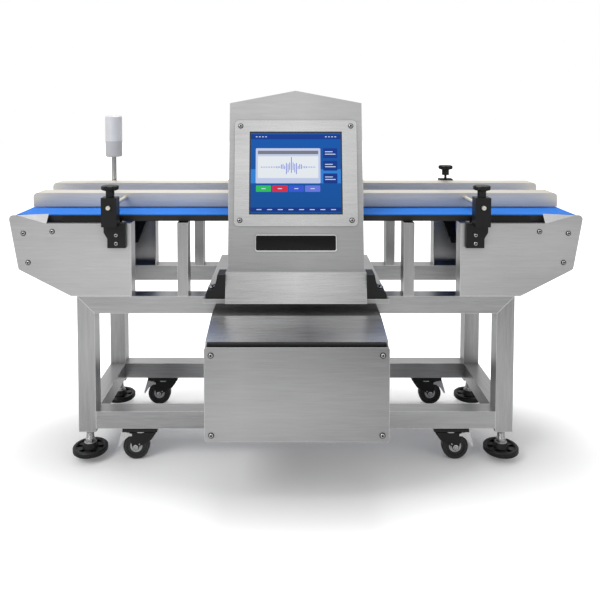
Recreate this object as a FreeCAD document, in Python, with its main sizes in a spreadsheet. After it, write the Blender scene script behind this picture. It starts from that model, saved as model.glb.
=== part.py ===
import FreeCAD, Part
import os
import re
import Sketcher

# Conveyor metal detector, millimetres, +Z up, +X along the belt, the operator stands at -Y.
# The origin lies on the floor under the middle of the machine's outer box.

doc = FreeCAD.newDocument("conveyor_metal_detector")
sheet = doc.addObject("Spreadsheet::Sheet", "Sizes")

# ---------------------------------------------------------------- driving dimensions
SIZES = {
    # welded stand
    "frame_long": 1250, "frame_deep": 395, "tube_side": 50, "tube_wall": 2,
    "rail_top": 485, "low_rail_top": 148, "leg_base": 88, "plug_thick": 8,
    "post_wide": 30, "post_reach": 322,
    # belt bed and belt
    "belt_top": 714, "belt_thick": 2, "roll_gap": 0.3, "bed_inset": 28, "skirt_thick": 5,
    "skirt_drop": 18, "deck_thick": 6, "belt_edge": 1, "return_level": 700,
    "nose_reach": 803, "nose_radius": 9, "deck_back": 11, "snub_radius": 15,
    "drum_reach": 585, "drum_height": 610, "drum_radius": 40, "drum_wall": 3,
    "nose_axle": 4, "snub_axle": 5, "drum_axle": 10, "run_fit": 0.1,
    "plate_thick": 6, "plate_wide": 172, "plate_foot": 52, "plate_lap": 12,
    # end boxes
    "sheet": 2, "nose_cover": 13, "box_tip": 718, "box_chin": 562, "box_chin_in": 26,
    "box_heel": 642, "box_inner": 468, "box_shelf": 694, "shelf_wide": 20, "shelf_end": 708,
    "return_wide": 48, "corner_round": 12, "tip_flat": 24, "facet_wide": 20,
    # detector head
    "head_wide": 380, "head_foot": 567, "head_eaves": 1035, "head_ridge": 1071,
    "head_front": 45, "head_back": 440, "head_lean": 0.203, "head_wall": 3,
    "tunnel_near": 14, "tunnel_far": 408, "tunnel_low": 688, "tunnel_high": 810,
    "liner_wall": 4, "liner_lip": 8, "liner_proud": 2,
    "base_wide": 390, "base_proud": 5, "skirt_below": 12,
    "bezel_wide": 347, "bezel_tall": 300, "bezel_thick": 4, "bezel_centre": 837.5,
    "screen_wide": 264, "screen_tall": 236, "screen_rim": 8, "screen_deep": 5,
    "bezel_round": 12,
    # carrier plate and insulating feet
    "carrier_wide": 512, "carrier_front": 66, "carrier_thick": 12, "carrier_back": 450,
    "insulator_tall": 66, "insulator_deep": 60, "insulator_wide": 22, "insulator_toe": 24,
    "insulator_web": 12, "insulator_inset": 6,
    # electrical cabinet
    "cabinet_wide": 456, "cabinet_low": 195, "cabinet_top": 465, "cabinet_brow": 444,
    "cabinet_shelf": 110, "cabinet_deep": 245, "door_wide": 460, "door_tall": 240,
    "door_thick": 12, "door_round": 7, "mouth_rim": 18,
    # product guides, their brackets and knobs
    "guide_long": 1606, "guide_wide": 68, "guide_tall": 42, "near_guide": 154, "near_lift": 717,
    "far_guide": 324, "far_lift": 726, "rod_radius": 6, "rod_height": 745, "rod_proud": 8,
    "bracket_reach": 521, "block_wide": 43, "block_deep": 36, "block_top": 772,
    "block_low": 690, "foot_shift": 14, "foot_wide": 51, "foot_low": 626, "foot_thick": 12,
    "knob_radius": 24, "knob_tall": 12, "hub_radius": 12, "hub_tall": 21, "stud_radius": 4,
    "flute_radius": 6, "knob_lobes": 7, "far_knob_lift": 12, "bare_drop": 10,
    # signal lamp
    "lamp_reach": 622, "pole_radius": 8, "lamp_out": 16, "lamp_radius": 28, "lamp_low": 848,
    "lamp_joint": 902, "lamp_high": 988, "lamp_clamp": 610,
    # casters
    "caster_reach": 450, "caster_trail": 14, "wheel_radius": 37.5, "wheel_wide": 25,
    "wheel_hub": 13, "web_sunk": 3, "tread_deep": 10, "shoulder": 3,
    "caster_plate": 100, "plate_rim": 11, "press_thick": 3, "race_radius": 17, "race_tall": 5,
    "race_lip": 2, "king_radius": 5, "fork_gap": 1.5, "crown_clear": 3, "crown_in": 44,
    "crown_out": 32, "cheek_taper": 13, "cheek_drop": 18, "cheek_round": 10, "axle_radius": 4,
    "axle_proud": 3, "pedal_thick": 2.5, "pedal_root": 24, "pedal_shoulder": 53,
    "pedal_reach": 64, "pedal_rise": 7.5, "pedal_toe": 7,
    # levelling feet
    "pad_radius": 50, "pad_lift": 20, "pad_rim": 16, "pad_hub": 28, "pad_soft": 3,
    "pad_boss": 17, "pad_pocket": 9, "pad_pockets": 6, "spindle_radius": 11,
    "spindle_top": 140, "nut_radius": 15, "nut_tall": 10,
}
for row, (alias, value) in enumerate(SIZES.items(), start=1):
    sheet.set("A%d" % row, alias)
    sheet.set("B%d" % row, str(value))
    sheet.setAlias("B%d" % row, alias)
doc.recompute()

# Places worked out from the driving dimensions; Y values count from the stand's front face.
DERIVED = {
    "front": "(cabinet_deep + door_thick - carrier_back) / 2",
    "half_long": "frame_long / 2",
    "box_reach": "nose_reach + nose_cover",
    "belt_under": "belt_top - belt_thick",
    "deck_top": "belt_under - roll_gap",
    "skirt_low": "belt_under - skirt_drop + belt_thick",
    "nose_height": "belt_under - nose_radius",
    "snub_near": "drum_reach - drum_radius - belt_thick - snub_radius",
    "snub_far": "drum_reach + drum_radius + belt_thick + snub_radius",
    "snub_far_height": "nose_height - nose_radius - belt_thick - snub_radius",
    "snub_near_height": "return_level - snub_radius",
    "roll_start": "front + bed_inset + skirt_thick + 3",
    "roll_end": "front + frame_deep - bed_inset - skirt_thick - 3",
    "low_rail_base": "low_rail_top - tube_side",
    "race_low": "low_rail_base - press_thick - race_tall",
    "crown_low": "2 * wheel_radius + crown_clear",
    "fork_half": "(wheel_wide / 2 + fork_gap + press_thick)",
    "bezel_y": "front - head_front + (bezel_centre - head_foot) * head_lean",
}


def formula(text):
    """Turn words of the sheet and of DERIVED into an expression that FreeCAD can bind."""
    def swap(match):
        word = match.group(0)
        if word in DERIVED:
            return "(" + formula(DERIVED[word]) + ")"
        if word in SIZES:
            return "Sizes." + word
        return word
    return re.sub(r"[a-z_]+", swap, str(text))


def bind(thing, prop, text):
    thing.setExpression(prop, formula(text))


def move(thing, x=0, y=0, z=0):
    for name, text in (("x", x), ("y", y), ("z", z)):
        bind(thing, "Placement.Base." + name, text)


def block(name, corner, size):
    box = doc.addObject("Part::Box", name)
    for prop, text in zip(("Length", "Width", "Height"), size):
        bind(box, prop, text)
    move(box, *corner)
    return box


TURNS = {
    "x": FreeCAD.Rotation(FreeCAD.Vector(0, 1, 0), 90),
    "y": FreeCAD.Rotation(FreeCAD.Vector(1, 0, 0), -90),
    "z": FreeCAD.Rotation(),
}


def round_bar(name, start, radius, length, axis="z"):
    bar = doc.addObject("Part::Cylinder", name)
    bar.Placement = FreeCAD.Placement(FreeCAD.Vector(), TURNS[axis])
    bind(bar, "Radius", radius)
    bind(bar, "Height", length)
    move(bar, *start)
    return bar


def cut(name, base, tool):
    result = doc.addObject("Part::Cut", name)
    result.Base = base
    result.Tool = tool
    return result


def fuse(name, *pieces):
    result = doc.addObject("Part::MultiFuse", name)
    result.Shapes = list(pieces)
    return result


def common(name, first, second):
    result = doc.addObject("Part::Common", name)
    result.Base = first
    result.Tool = second
    return result


def group(name, *pieces):
    result = doc.addObject("Part::Compound", name)
    result.Links = list(pieces)
    return result


def sketch_on(body, role, name, points):
    """Closed outline; every corner is dimensioned from the origin by a bound formula."""
    sketch = body.newObject("Sketcher::SketchObject", name)
    plane = [item for item in body.Origin.OriginFeatures if item.Role == role][0]
    sketch.AttachmentSupport = [(plane, "")]
    sketch.MapMode = "FlatFace"
    count = len(points)
    for index in range(count):
        turn = index + 1
        start = FreeCAD.Vector(index * 7, index * index, 0)
        end = FreeCAD.Vector(turn * 7, turn * turn, 0)
        sketch.addGeometry(Part.LineSegment(start, end))
    for index in range(count):
        sketch.addConstraint(Sketcher.Constraint("Coincident", index, 2, (index + 1) % count, 1))
    for index, (across, up) in enumerate(points):
        for kind, text in (("DistanceX", across), ("DistanceY", up)):
            number = sketch.addConstraint(Sketcher.Constraint(kind, -1, 1, index, 1, 1.0))
            bind(sketch, "Constraints[%d]" % number, text)
    return sketch


def prism(name, role, points, start, length):
    """Body padded from one outline: XZ outlines run along +Y, YZ along +X and XY along +Z."""
    body = doc.addObject("PartDesign::Body", name)
    sketch = sketch_on(body, role, name + "_outline", points)
    pad = body.newObject("PartDesign::Pad", name + "_pad")
    pad.Profile = sketch
    pad.Reversed = role == "XZ_Plane"
    bind(pad, "Length", length)
    axis = {"XZ_Plane": "y", "YZ_Plane": "x", "XY_Plane": "z"}[role]
    move(body, **{axis: start})
    return body


def round_edges(body, radius, wanted):
    """Fillet the straight edges of the body's last feature that the test picks."""
    doc.recompute()
    last = body.Tip
    names = []
    for number, edge in enumerate(last.Shape.Edges, start=1):
        if len(edge.Vertexes) == 2 and wanted(edge.Vertexes[0].Point, edge.Vertexes[1].Point):
            names.append("Edge%d" % number)
    fillet = body.newObject("PartDesign::Fillet", body.Name + "_round")
    fillet.Base = (last, names)
    bind(fillet, "Radius", radius)
    return fillet


def along(axis):
    """Test for edges that run along one axis of the body."""
    def test(first, second):
        step = second - first
        return abs(abs(step[axis]) - step.Length) < 1e-6
    return test


def revolve(name, outline):
    """Body turned about its own Z axis from a half outline of (radius, height) points."""
    body = doc.addObject("PartDesign::Body", name)
    sketch = sketch_on(body, "XZ_Plane", name + "_outline", outline)
    turned = body.newObject("PartDesign::Revolution", name + "_turned")
    turned.Profile = sketch
    turned.ReferenceAxis = (sketch, ["V_Axis"])
    turned.Angle = 360
    return body


def repeat_round(body, pocket, count):
    """Repeat a pocket about the body's own Z axis, and make sure that it cuts."""
    doc.recompute()
    before = pocket.BaseFeature.Shape.Volume
    pattern = body.newObject("PartDesign::PolarPattern", pocket.Name + "_ring")
    pattern.Originals = [pocket]
    axis = [item for item in body.Origin.OriginFeatures if item.Role == "Z_Axis"][0]
    pattern.Axis = (axis, [""])
    pattern.Angle = 360
    bind(pattern, "Occurrences", count)
    body.Tip = pattern
    doc.recompute()
    if not pattern.Shape.Volume < pocket.Shape.Volume < before:
        raise ValueError(pocket.Name + " cuts nothing")
    return body


def mirrored(side, text):
    return "%d * (%s)" % (side, text)


SIDES = {"left": -1, "right": 1}
ENDS = {"front": 0, "rear": 1}


# ---------------------------------------------------------------- welded stand
def mitred_tube(name, outer, inner, y_start):
    """Square tube with mitred ends: the outline on its face and the hollow inside it."""
    solid = prism(name + "_solid", "XZ_Plane", outer, y_start, "tube_side")
    bore = prism(name + "_bore", "XZ_Plane", inner, y_start + " + tube_wall", "tube_side - 2 * tube_wall")
    return cut(name, solid, bore)


def leg(name, side, y_start):
    outside = mirrored(side, "half_long")
    inside = mirrored(side, "half_long - tube_side")
    wall_out = mirrored(side, "half_long - tube_wall")
    wall_in = mirrored(side, "half_long - tube_side + tube_wall")
    outer = [(outside, "leg_base"), (outside, "rail_top"), (inside, "rail_top - tube_side"),
             (inside, "leg_base")]
    inner = [(wall_out, "leg_base + plug_thick"), (wall_out, "rail_top - tube_wall"),
             (wall_in, "rail_top - tube_side + tube_wall"), (wall_in, "leg_base + plug_thick")]
    tube = mitred_tube(name + "_tube", outer, inner, y_start)
    hole = round_bar(name + "_hole", (mirrored(side, "half_long - tube_side / 2"),
                                      y_start + " + tube_side / 2", "leg_base - 1"),
                     "spindle_radius + run_fit", "plug_thick + 2")
    return cut(name, tube, hole)


def square_tube(name, corner, size, axis):
    """Straight square tube, hollow along one axis."""
    solid = block(name + "_solid", corner, size)
    bore_corner = [text if index == axis else "%s + tube_wall" % text for index, text in enumerate(corner)]
    bore_size = [text if index == axis else "%s - 2 * tube_wall" % text for index, text in enumerate(size)]
    return cut(name, solid, block(name + "_bore", bore_corner, bore_size))


def end_y(end):
    return "front" if end == "front" else "front + frame_deep - tube_side"


def build_stand():
    nodes = []
    top = [("0 - half_long", "rail_top"), ("half_long", "rail_top"),
           ("half_long - tube_side", "rail_top - tube_side"), ("tube_side - half_long",
                                                               "rail_top - tube_side")]
    hollow = [("tube_wall - half_long", "rail_top - tube_wall"),
              ("half_long - tube_wall", "rail_top - tube_wall"),
              ("half_long - tube_side + tube_wall", "rail_top - tube_side + tube_wall"),
              ("tube_side - tube_wall - half_long", "rail_top - tube_side + tube_wall")]
    for end in ENDS:
        legs = [leg("leg_%s_%s" % (end, hand), side, end_y(end)) for hand, side in SIDES.items()]
        nodes.append(group("legs_" + end, *legs))
        nodes.append(mitred_tube("top_rail_" + end, top, hollow, end_y(end)))
        nodes.append(square_tube("low_rail_" + end, ("tube_side - half_long", end_y(end), "low_rail_base"),
                                 ("frame_long - 2 * tube_side", "tube_side", "tube_side"), 0))
    for level, height in (("top", "rail_top - tube_side"), ("low", "low_rail_base")):
        tubes = []
        for hand, side in SIDES.items():
            x_start = "0 - half_long" if side < 0 else "half_long - tube_side"
            tubes.append(square_tube("%s_cross_%s" % (level, hand), (x_start, "front + tube_side", height),
                                     ("tube_side", "frame_deep - 2 * tube_side", "tube_side"), 1))
        nodes.append(group(level + "_cross_rails", *tubes))
    posts = []
    for end in ENDS:
        for hand, side in SIDES.items():
            x_start = "%s - post_wide / 2" % mirrored(side, "post_reach")
            posts.append(square_tube("bed_post_%s_%s" % (end, hand), (x_start, end_y(end), "rail_top"),
                                     ("post_wide", "tube_side", "skirt_low - rail_top"), 2))
    nodes.append(group("bed_posts", *posts))
    return nodes


# ---------------------------------------------------------------- belt bed and rollers
def build_bed():
    deck = block("deck_plate", ("deck_back - nose_reach", "front + bed_inset", "deck_top - deck_thick"),
                 ("2 * (nose_reach - deck_back)", "frame_deep - 2 * bed_inset", "deck_thick"))
    skirts = []
    for end in ENDS:
        y_start = "front + bed_inset" if end == "front" else "front + frame_deep - bed_inset - skirt_thick"
        skirt = block("skirt_" + end, ("0 - nose_reach - nose_axle - 3", y_start, "skirt_low"),
                      ("2 * (nose_reach + nose_axle + 3)", "skirt_thick", "belt_under - skirt_low"))
        for hand, side in SIDES.items():
            bore = round_bar("skirt_bore_%s_%s" % (end, hand),
                             (mirrored(side, "nose_reach"), y_start + " - 1", "nose_height"),
                             "nose_axle + run_fit", "skirt_thick + 2", "y")
            skirt = cut("skirt_%s_%s" % (end, hand), skirt, bore)
        skirts.append(skirt)
    return [fuse("slider_bed", deck, *skirts)]


def roller(name, x_place, z_place, radius, axle, axle_start, axle_end):
    """Solid roller turning with its own axle, whose ends run in the plates."""
    barrel = round_bar(name + "_barrel", (x_place, "roll_start", z_place), radius + " - roll_gap",
                       "roll_end - roll_start", "y")
    spindle = round_bar(name + "_axle", (x_place, axle_start, z_place), axle,
                        "(%s) - (%s)" % (axle_end, axle_start), "y")
    return fuse(name, barrel, spindle)


def build_rollers():
    nodes = []
    near = "front + bed_inset"
    far = "front + frame_deep - bed_inset"
    for hand, side in SIDES.items():
        nodes.append(roller("nose_roller_" + hand, mirrored(side, "nose_reach"), "nose_height",
                            "nose_radius", "nose_axle", near + " + 0.5", far + " - 0.5"))
        for place in ("near", "far"):
            where = "inner" if place == "near" else "outer"
            height = "snub_near_height" if place == "near" else "snub_far_height"
            nodes.append(roller("snub_roller_%s_%s" % (hand, where), mirrored(side, "snub_" + place),
                                height,
                                "snub_radius", "snub_axle", near + " - plate_thick",
                                far + " + plate_thick"))
    nodes.append(roller("takeup_drum", "0 - drum_reach", "drum_height", "drum_radius", "drum_axle",
                        near + " - plate_thick", far + " + plate_thick"))
    barrel = round_bar("drive_barrel", ("drum_reach", "roll_start", "drum_height"),
                       "drum_radius - roll_gap", "roll_end - roll_start", "y")
    hollow = round_bar("drive_hollow", ("drum_reach", "roll_start + 12", "drum_height"),
                       "drum_radius - roll_gap - drum_wall", "roll_end - roll_start - 24", "y")
    shell = cut("drive_shell", barrel, hollow)
    bore = round_bar("drive_bore", ("drum_reach", "roll_start - 1", "drum_height"),
                     "drum_axle + run_fit", "roll_end - roll_start + 2", "y")
    nodes.append(cut("drive_drum", shell, bore))
    return nodes


def build_roller_plates():
    """Four plates that hang from the bed's skirts and carry drums and snub rollers."""
    plates = []
    for hand, side in SIDES.items():
        middle = "drum_reach"
        wide = "plate_wide / 2"
        outline = [("%s - %s" % (middle, wide), "skirt_low + plate_lap"),
                   ("%s + %s" % (middle, wide), "skirt_low + plate_lap"),
                   ("%s + %s" % (middle, wide), "snub_far_height - 2 * snub_radius"),
                   ("%s + plate_foot" % middle, "drum_height - plate_foot"),
                   ("%s - plate_foot" % middle, "drum_height - plate_foot"),
                   ("%s - %s" % (middle, wide), "snub_far_height - 2 * snub_radius")]
        outline = [(mirrored(side, across), up) for across, up in outline]
        for end in ENDS:
            tag = "%s_%s" % (hand, end)
            y_start = "front + bed_inset - plate_thick" if end == "front" else "front + frame_deep - bed_inset"
            plate = prism("plate_blank_" + tag, "XZ_Plane", outline, y_start, "plate_thick")
            drum_hole = "drum_axle" if side > 0 else "drum_axle + run_fit"
            bores = [round_bar("plate_bore_%s_%d" % (tag, number),
                               (mirrored(side, across), y_start + " - 1", up),
                               radius, "plate_thick + 2", "y")
                     for number, (across, up, radius) in enumerate((
                         ("drum_reach", "drum_height", drum_hole),
                         ("snub_near", "snub_near_height", "snub_axle + run_fit"),
                         ("snub_far", "snub_far_height", "snub_axle + run_fit")))]
            plates.append(cut("roller_plate_" + tag, plate, fuse("plate_bores_" + tag, *bores)))
    shaft = round_bar("drum_shaft", ("drum_reach", "front + bed_inset - plate_thick", "drum_height"),
                      "drum_axle", "frame_deep - 2 * bed_inset + 2 * plate_thick", "y")
    return [group("roller_plates", *plates, shaft)]


def belt_loop(outward):
    """One closed outline of the belt: 0 is the face on the rollers, belt_thick the carrying face.

    The belt runs flat over the bed, round a nose roller, back to an outer snub roller, down round
    the big drum, up to an inner snub roller and home under the deck; both ends are alike.
    """
    thick = SIZES["belt_thick"]
    top = SIZES["belt_top"] - thick + outward
    nose_x = SIZES["nose_reach"]
    nose_z = SIZES["belt_top"] - thick - SIZES["nose_radius"]
    nose_r = SIZES["nose_radius"] + outward
    snub_r = SIZES["snub_radius"] + thick - outward
    drum_r = SIZES["drum_radius"] + outward
    drum_x = SIZES["drum_reach"]
    drum_z = SIZES["drum_height"]
    far_x = drum_x + SIZES["drum_radius"] + thick + SIZES["snub_radius"]
    near_x = drum_x - SIZES["drum_radius"] - thick - SIZES["snub_radius"]
    far_z = nose_z - SIZES["nose_radius"] - thick - SIZES["snub_radius"]
    near_z = SIZES["return_level"] - SIZES["snub_radius"]
    corner = 0.5 ** 0.5

    def half(side):
        def point(x, z):
            return FreeCAD.Vector(side * x, 0, z)

        def bend(x, z, radius, first, middle, last):
            ends = [point(x + radius * a, z + radius * b) for a, b in (first, middle, last)]
            return Part.Arc(*ends).toShape()

        def line(x_start, z_start, x_end, z_end):
            return Part.LineSegment(point(x_start, z_start), point(x_end, z_end)).toShape()

        return [
            line(0, top, nose_x, top),
            bend(nose_x, nose_z, nose_r, (0, 1), (1, 0), (0, -1)),
            line(nose_x, nose_z - nose_r, far_x, nose_z - nose_r),
            bend(far_x, far_z, snub_r, (0, 1), (-corner, corner), (-1, 0)),
            line(far_x - snub_r, far_z, far_x - snub_r, drum_z),
            bend(drum_x, drum_z, drum_r, (1, 0), (0, -1), (-1, 0)),
            line(near_x + snub_r, drum_z, near_x + snub_r, near_z),
            bend(near_x, near_z, snub_r, (1, 0), (corner, corner), (0, 1)),
            line(near_x, near_z + snub_r, 0, near_z + snub_r),
        ]

    return Part.Wire(Part.__sortEdges__(half(1) + half(-1)))


def build_belt():
    start = SIZES["bed_inset"] + SIZES["skirt_thick"] + SIZES["belt_edge"]
    wide = SIZES["frame_deep"] - 2 * start
    loop = Part.Face([belt_loop(SIZES["belt_thick"]), belt_loop(0)], "Part::FaceMakerCheese")
    belt = doc.addObject("Part::Feature", "conveyor_belt")
    belt.Shape = loop.extrude(FreeCAD.Vector(0, wide, 0))
    bind(belt, "Placement.Base.y", "front + bed_inset + skirt_thick + belt_edge")
    return [belt]


# ---------------------------------------------------------------- end boxes
def box_outline(side, inset):
    """Side view of an end box, from its inner top corner round the nose to its inner foot."""
    points = [("box_inner", "box_shelf"), ("shelf_end", "box_shelf"),
              ("box_reach - tip_flat", "box_tip"), ("box_reach - %s" % inset, "box_tip"),
              ("box_reach - box_chin_in - %s" % inset, "box_chin + %s" % inset),
              ("box_heel", "rail_top + %s" % inset), ("box_inner", "rail_top + %s" % inset)]
    return [(mirrored(side, across), up) for across, up in points]


def outer_corner(first, second):
    """Test for the three outer corners of an end box: its tip, its chin and its heel."""
    out = abs(first.x)
    on_slope_start = abs(out - SIZES["nose_reach"] - SIZES["nose_cover"] + SIZES["tip_flat"]) < 0.5
    return along(1)(first, second) and out > SIZES["box_heel"] - 0.5 and not on_slope_start


def side_cover(hand, side, end):
    """Folded side sheet of an end box: face, top shelf, upright return and nose gusset."""
    tag = "%s_%s" % (end, hand)
    outer_y = "front" if end == "front" else "front + frame_deep - sheet"
    inward = 1 if end == "front" else -1
    face = prism("face_" + tag, "XZ_Plane", box_outline(side, "0"), outer_y, "sheet")
    round_edges(face, "corner_round", outer_corner)

    def fold(name, x_start, x_end, z_low, z_high, wide):
        left, right = (x_start, x_end) if side > 0 else (x_end, x_start)
        y_start = "front" if inward > 0 else "front + frame_deep - (%s)" % wide
        low = mirrored(side, left)
        return block(name + "_" + tag, (low, y_start, z_low),
                     ("%s - (%s)" % (mirrored(side, right), low), wide, "(%s) - (%s)" % (z_high, z_low)))

    shelf = fold("shelf", "box_inner", "shelf_end", "box_shelf - sheet", "box_shelf", "shelf_wide")
    upright = fold("upright", "box_inner", "box_inner + sheet", "rail_top", "box_shelf", "return_wide")
    return fuse("side_cover_" + tag, face, shelf, upright, nose_facet(tag, side, end))


def nose_facet(tag, side, end):
    """Three-cornered sheet that closes the step from the shelf up to the tip of the box."""
    inward = 1 if end == "front" else -1
    tip_x = SIZES["nose_reach"] + SIZES["nose_cover"] - SIZES["tip_flat"]
    tip = FreeCAD.Vector(side * tip_x, 0, SIZES["box_tip"])
    low = FreeCAD.Vector(side * SIZES["shelf_end"], 0, SIZES["box_shelf"])
    back = FreeCAD.Vector(side * SIZES["shelf_end"], inward * SIZES["facet_wide"], SIZES["box_tip"])
    outline = Part.Face(Part.makePolygon([tip, low, back, tip]))
    normal = (low - tip).cross(back - tip).normalize()
    if normal.z > 0:
        normal = normal * -1
    facet = doc.addObject("Part::Feature", "facet_" + tag)
    facet.Shape = outline.extrude(normal * SIZES["sheet"])
    bind(facet, "Placement.Base.y", "front" if end == "front" else "front + frame_deep")
    return facet


def end_wrap(hand, side):
    """Sheet that closes an end box from under the nose, down the end and along the slope."""
    lean = "box_chin_in * (box_tip - skirt_low + 4) / (box_tip - box_chin)"
    outer = [("box_reach - sheet - %s" % lean, "skirt_low - 4"),
             ("box_reach - box_chin_in - sheet", "box_chin + corner_round"),
             ("box_reach - box_chin_in - sheet - corner_round", "box_chin + sheet"),
             ("box_heel", "rail_top + sheet"), ("box_heel - tube_side", "rail_top + sheet")]
    inner = [("box_heel - tube_side", "rail_top + 2 * sheet"), ("box_heel", "rail_top + 2 * sheet + 0.3"),
             ("box_reach - box_chin_in - 2 * sheet - corner_round", "box_chin + 2.2 * sheet"),
             ("box_reach - box_chin_in - 2 * sheet - 0.5", "box_chin + corner_round + 1"),
             ("box_reach - 2 * sheet - %s" % lean, "skirt_low - 4")]
    points = [(mirrored(side, across), up) for across, up in outer + inner]
    return prism("end_wrap_" + hand, "XZ_Plane", points, "front + sheet", "frame_deep - 2 * sheet")


def build_end_boxes():
    nodes = []
    for hand, side in SIDES.items():
        for end in ENDS:
            nodes.append(side_cover(hand, side, end))
    wraps = [end_wrap(hand, side) for hand, side in SIDES.items()]
    nodes.append(group("end_wraps", *wraps))
    return nodes


# ---------------------------------------------------------------- detector head
def head_prism(name, wall):
    """Gabled block with a leaning face: a front outline and a side outline in common."""
    half = "(head_wide / 2 - %s)" % wall
    gable = [("0 - " + half, "head_foot + %s" % wall), (half, "head_foot + %s" % wall),
             (half, "head_eaves - %s" % wall), ("0", "head_ridge - %s" % wall),
             ("0 - " + half, "head_eaves - %s" % wall)]
    front_view = prism(name + "_front", "XZ_Plane", gable, "front - 2 * head_front",
                       "head_back + 3 * head_front")
    tall = "(head_ridge - head_foot)"
    side = [("front - head_front + %s" % wall, "head_foot"), ("front + head_back - %s" % wall, "head_foot"),
            ("front + head_back - %s" % wall, "head_ridge"),
            ("front - head_front + %s + %s * head_lean" % (wall, tall), "head_ridge")]
    side_view = prism(name + "_side", "YZ_Plane", side, "0 - head_wide", "2 * head_wide")
    return common(name, front_view, side_view)


def tunnel_box(name, half_long, grow):
    """Block of the aperture's section, grown outwards, that runs right through the head."""
    return block(name, ("0 - (%s)" % half_long, "front + tunnel_near - (%s)" % grow,
                        "tunnel_low - (%s)" % grow),
                 ("2 * (%s)" % half_long, "tunnel_far - tunnel_near + 2 * (%s)" % grow,
                  "tunnel_high - tunnel_low + 2 * (%s)" % grow))


def face_slab(name, wide, tall, low, thick):
    """Slab that lies on the leaning face: its own Y runs up the slope and its Z points out."""
    slab = block(name, (0, 0, 0), (wide, tall, thick))
    place = ("create(<<placement>>; create(<<vector>>; 0 - ({w}) / 2; {y} - ({t}) / 2 * sin({a}) - ({l}) * cos({a});"
             " {z} - ({t}) / 2 * cos({a}) + ({l}) * sin({a}));"
             " create(<<rotation>>; create(<<vector>>; 1; 0; 0); 90 - {n}))")
    angle = "atan(head_lean)"
    degrees = "atan(head_lean) / 1 deg"
    text = place.format(w=wide, t=tall, l=low, y="bezel_y", z="bezel_centre", a=angle, n=degrees)
    for prop in ("Placement.Base.x", "Placement.Base.y", "Placement.Base.z"):
        slab.setExpression(prop, None)
    slab.setExpression("Placement", face_formula(text))
    return slab


def face_formula(text):
    """Bind only the sheet's words, and leave the names of FreeCAD's own functions."""
    keep = {"create", "placement", "vector", "rotation", "sin", "cos", "atan", "deg"}

    def swap(match):
        word = match.group(0)
        return word if word in keep else formula(word)
    return re.sub(r"[a-z_]+", swap, text)


def build_head():
    outer = head_prism("head_outer", "0")
    inner = head_prism("head_inner", "head_wall")
    collar = tunnel_box("head_collar", "head_wide", "head_wall")
    hollow = cut("head_hollow", inner, collar)
    shell = cut("head_shell_closed", outer, hollow)
    drilled = cut("head_shell_open", shell, tunnel_box("head_tunnel", "head_wide", "0"))
    pocket = face_slab("screen_pocket", "screen_wide + 2 * screen_rim + 2",
                       "screen_tall + 2 * screen_rim + 2",
                       "0 - screen_deep", "2 * screen_deep")
    head = cut("head_shell", drilled, pocket)

    sleeve = tunnel_box("liner_solid", "head_wide / 2 + liner_proud", "0 - roll_gap")
    lips = []
    for hand, side in SIDES.items():
        x_start = mirrored(side, "head_wide / 2 + liner_proud / 2") + " - liner_proud / 2"
        lips.append(block("liner_lip_" + hand,
                          (x_start, "front + tunnel_near - liner_lip", "tunnel_low - liner_lip"),
                          ("liner_proud", "tunnel_far - tunnel_near + 2 * liner_lip",
                           "tunnel_high - tunnel_low + 2 * liner_lip")))
    ring = fuse("liner_ring", sleeve, *lips)
    liner = cut("tunnel_liner", ring, tunnel_box("liner_way", "head_wide", "0 - liner_wall"))

    bezel_blank = face_slab("bezel_blank", "bezel_wide", "bezel_tall", "0", "bezel_thick")
    doc.recompute()
    soft = doc.addObject("Part::Fillet", "bezel_soft")
    soft.Base = bezel_blank
    corners = [number for number, edge in enumerate(bezel_blank.Shape.Edges, start=1)
               if abs(edge.Length - SIZES["bezel_thick"]) < 1e-6]
    radius = SIZES["bezel_round"]
    soft.Edges = [(number, radius, radius) for number in corners]
    window = face_slab("bezel_window", "screen_wide", "screen_tall", "0 - 1", "bezel_thick + 2")
    bezel = cut("screen_bezel", soft, window)
    screen = face_slab("touch_screen", "screen_wide + 2 * screen_rim", "screen_tall + 2 * screen_rim",
                       "0 - screen_deep", "screen_deep")

    face_y = "front - head_front - base_proud"
    profile = [("front - carrier_front", "rail_top + carrier_thick"),
               ("front + head_back", "rail_top + carrier_thick"), ("front + head_back", "head_foot"),
               (face_y, "head_foot"), ("front - carrier_front - base_proud", "rail_top"),
               ("front - carrier_front", "rail_top")]
    base = prism("base_solid", "YZ_Plane", profile, "0 - base_wide / 2", "base_wide")
    room = block("base_room", ("head_wall - base_wide / 2", "front - head_front + 2 * head_wall",
                               "rail_top + carrier_thick - 1"),
                 ("base_wide - 2 * head_wall", "head_back + head_front - 3 * head_wall",
                  "head_foot - rail_top - carrier_thick - head_wall + 1"))
    return [head, liner, bezel, screen, cut("head_base", base, room)]


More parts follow.
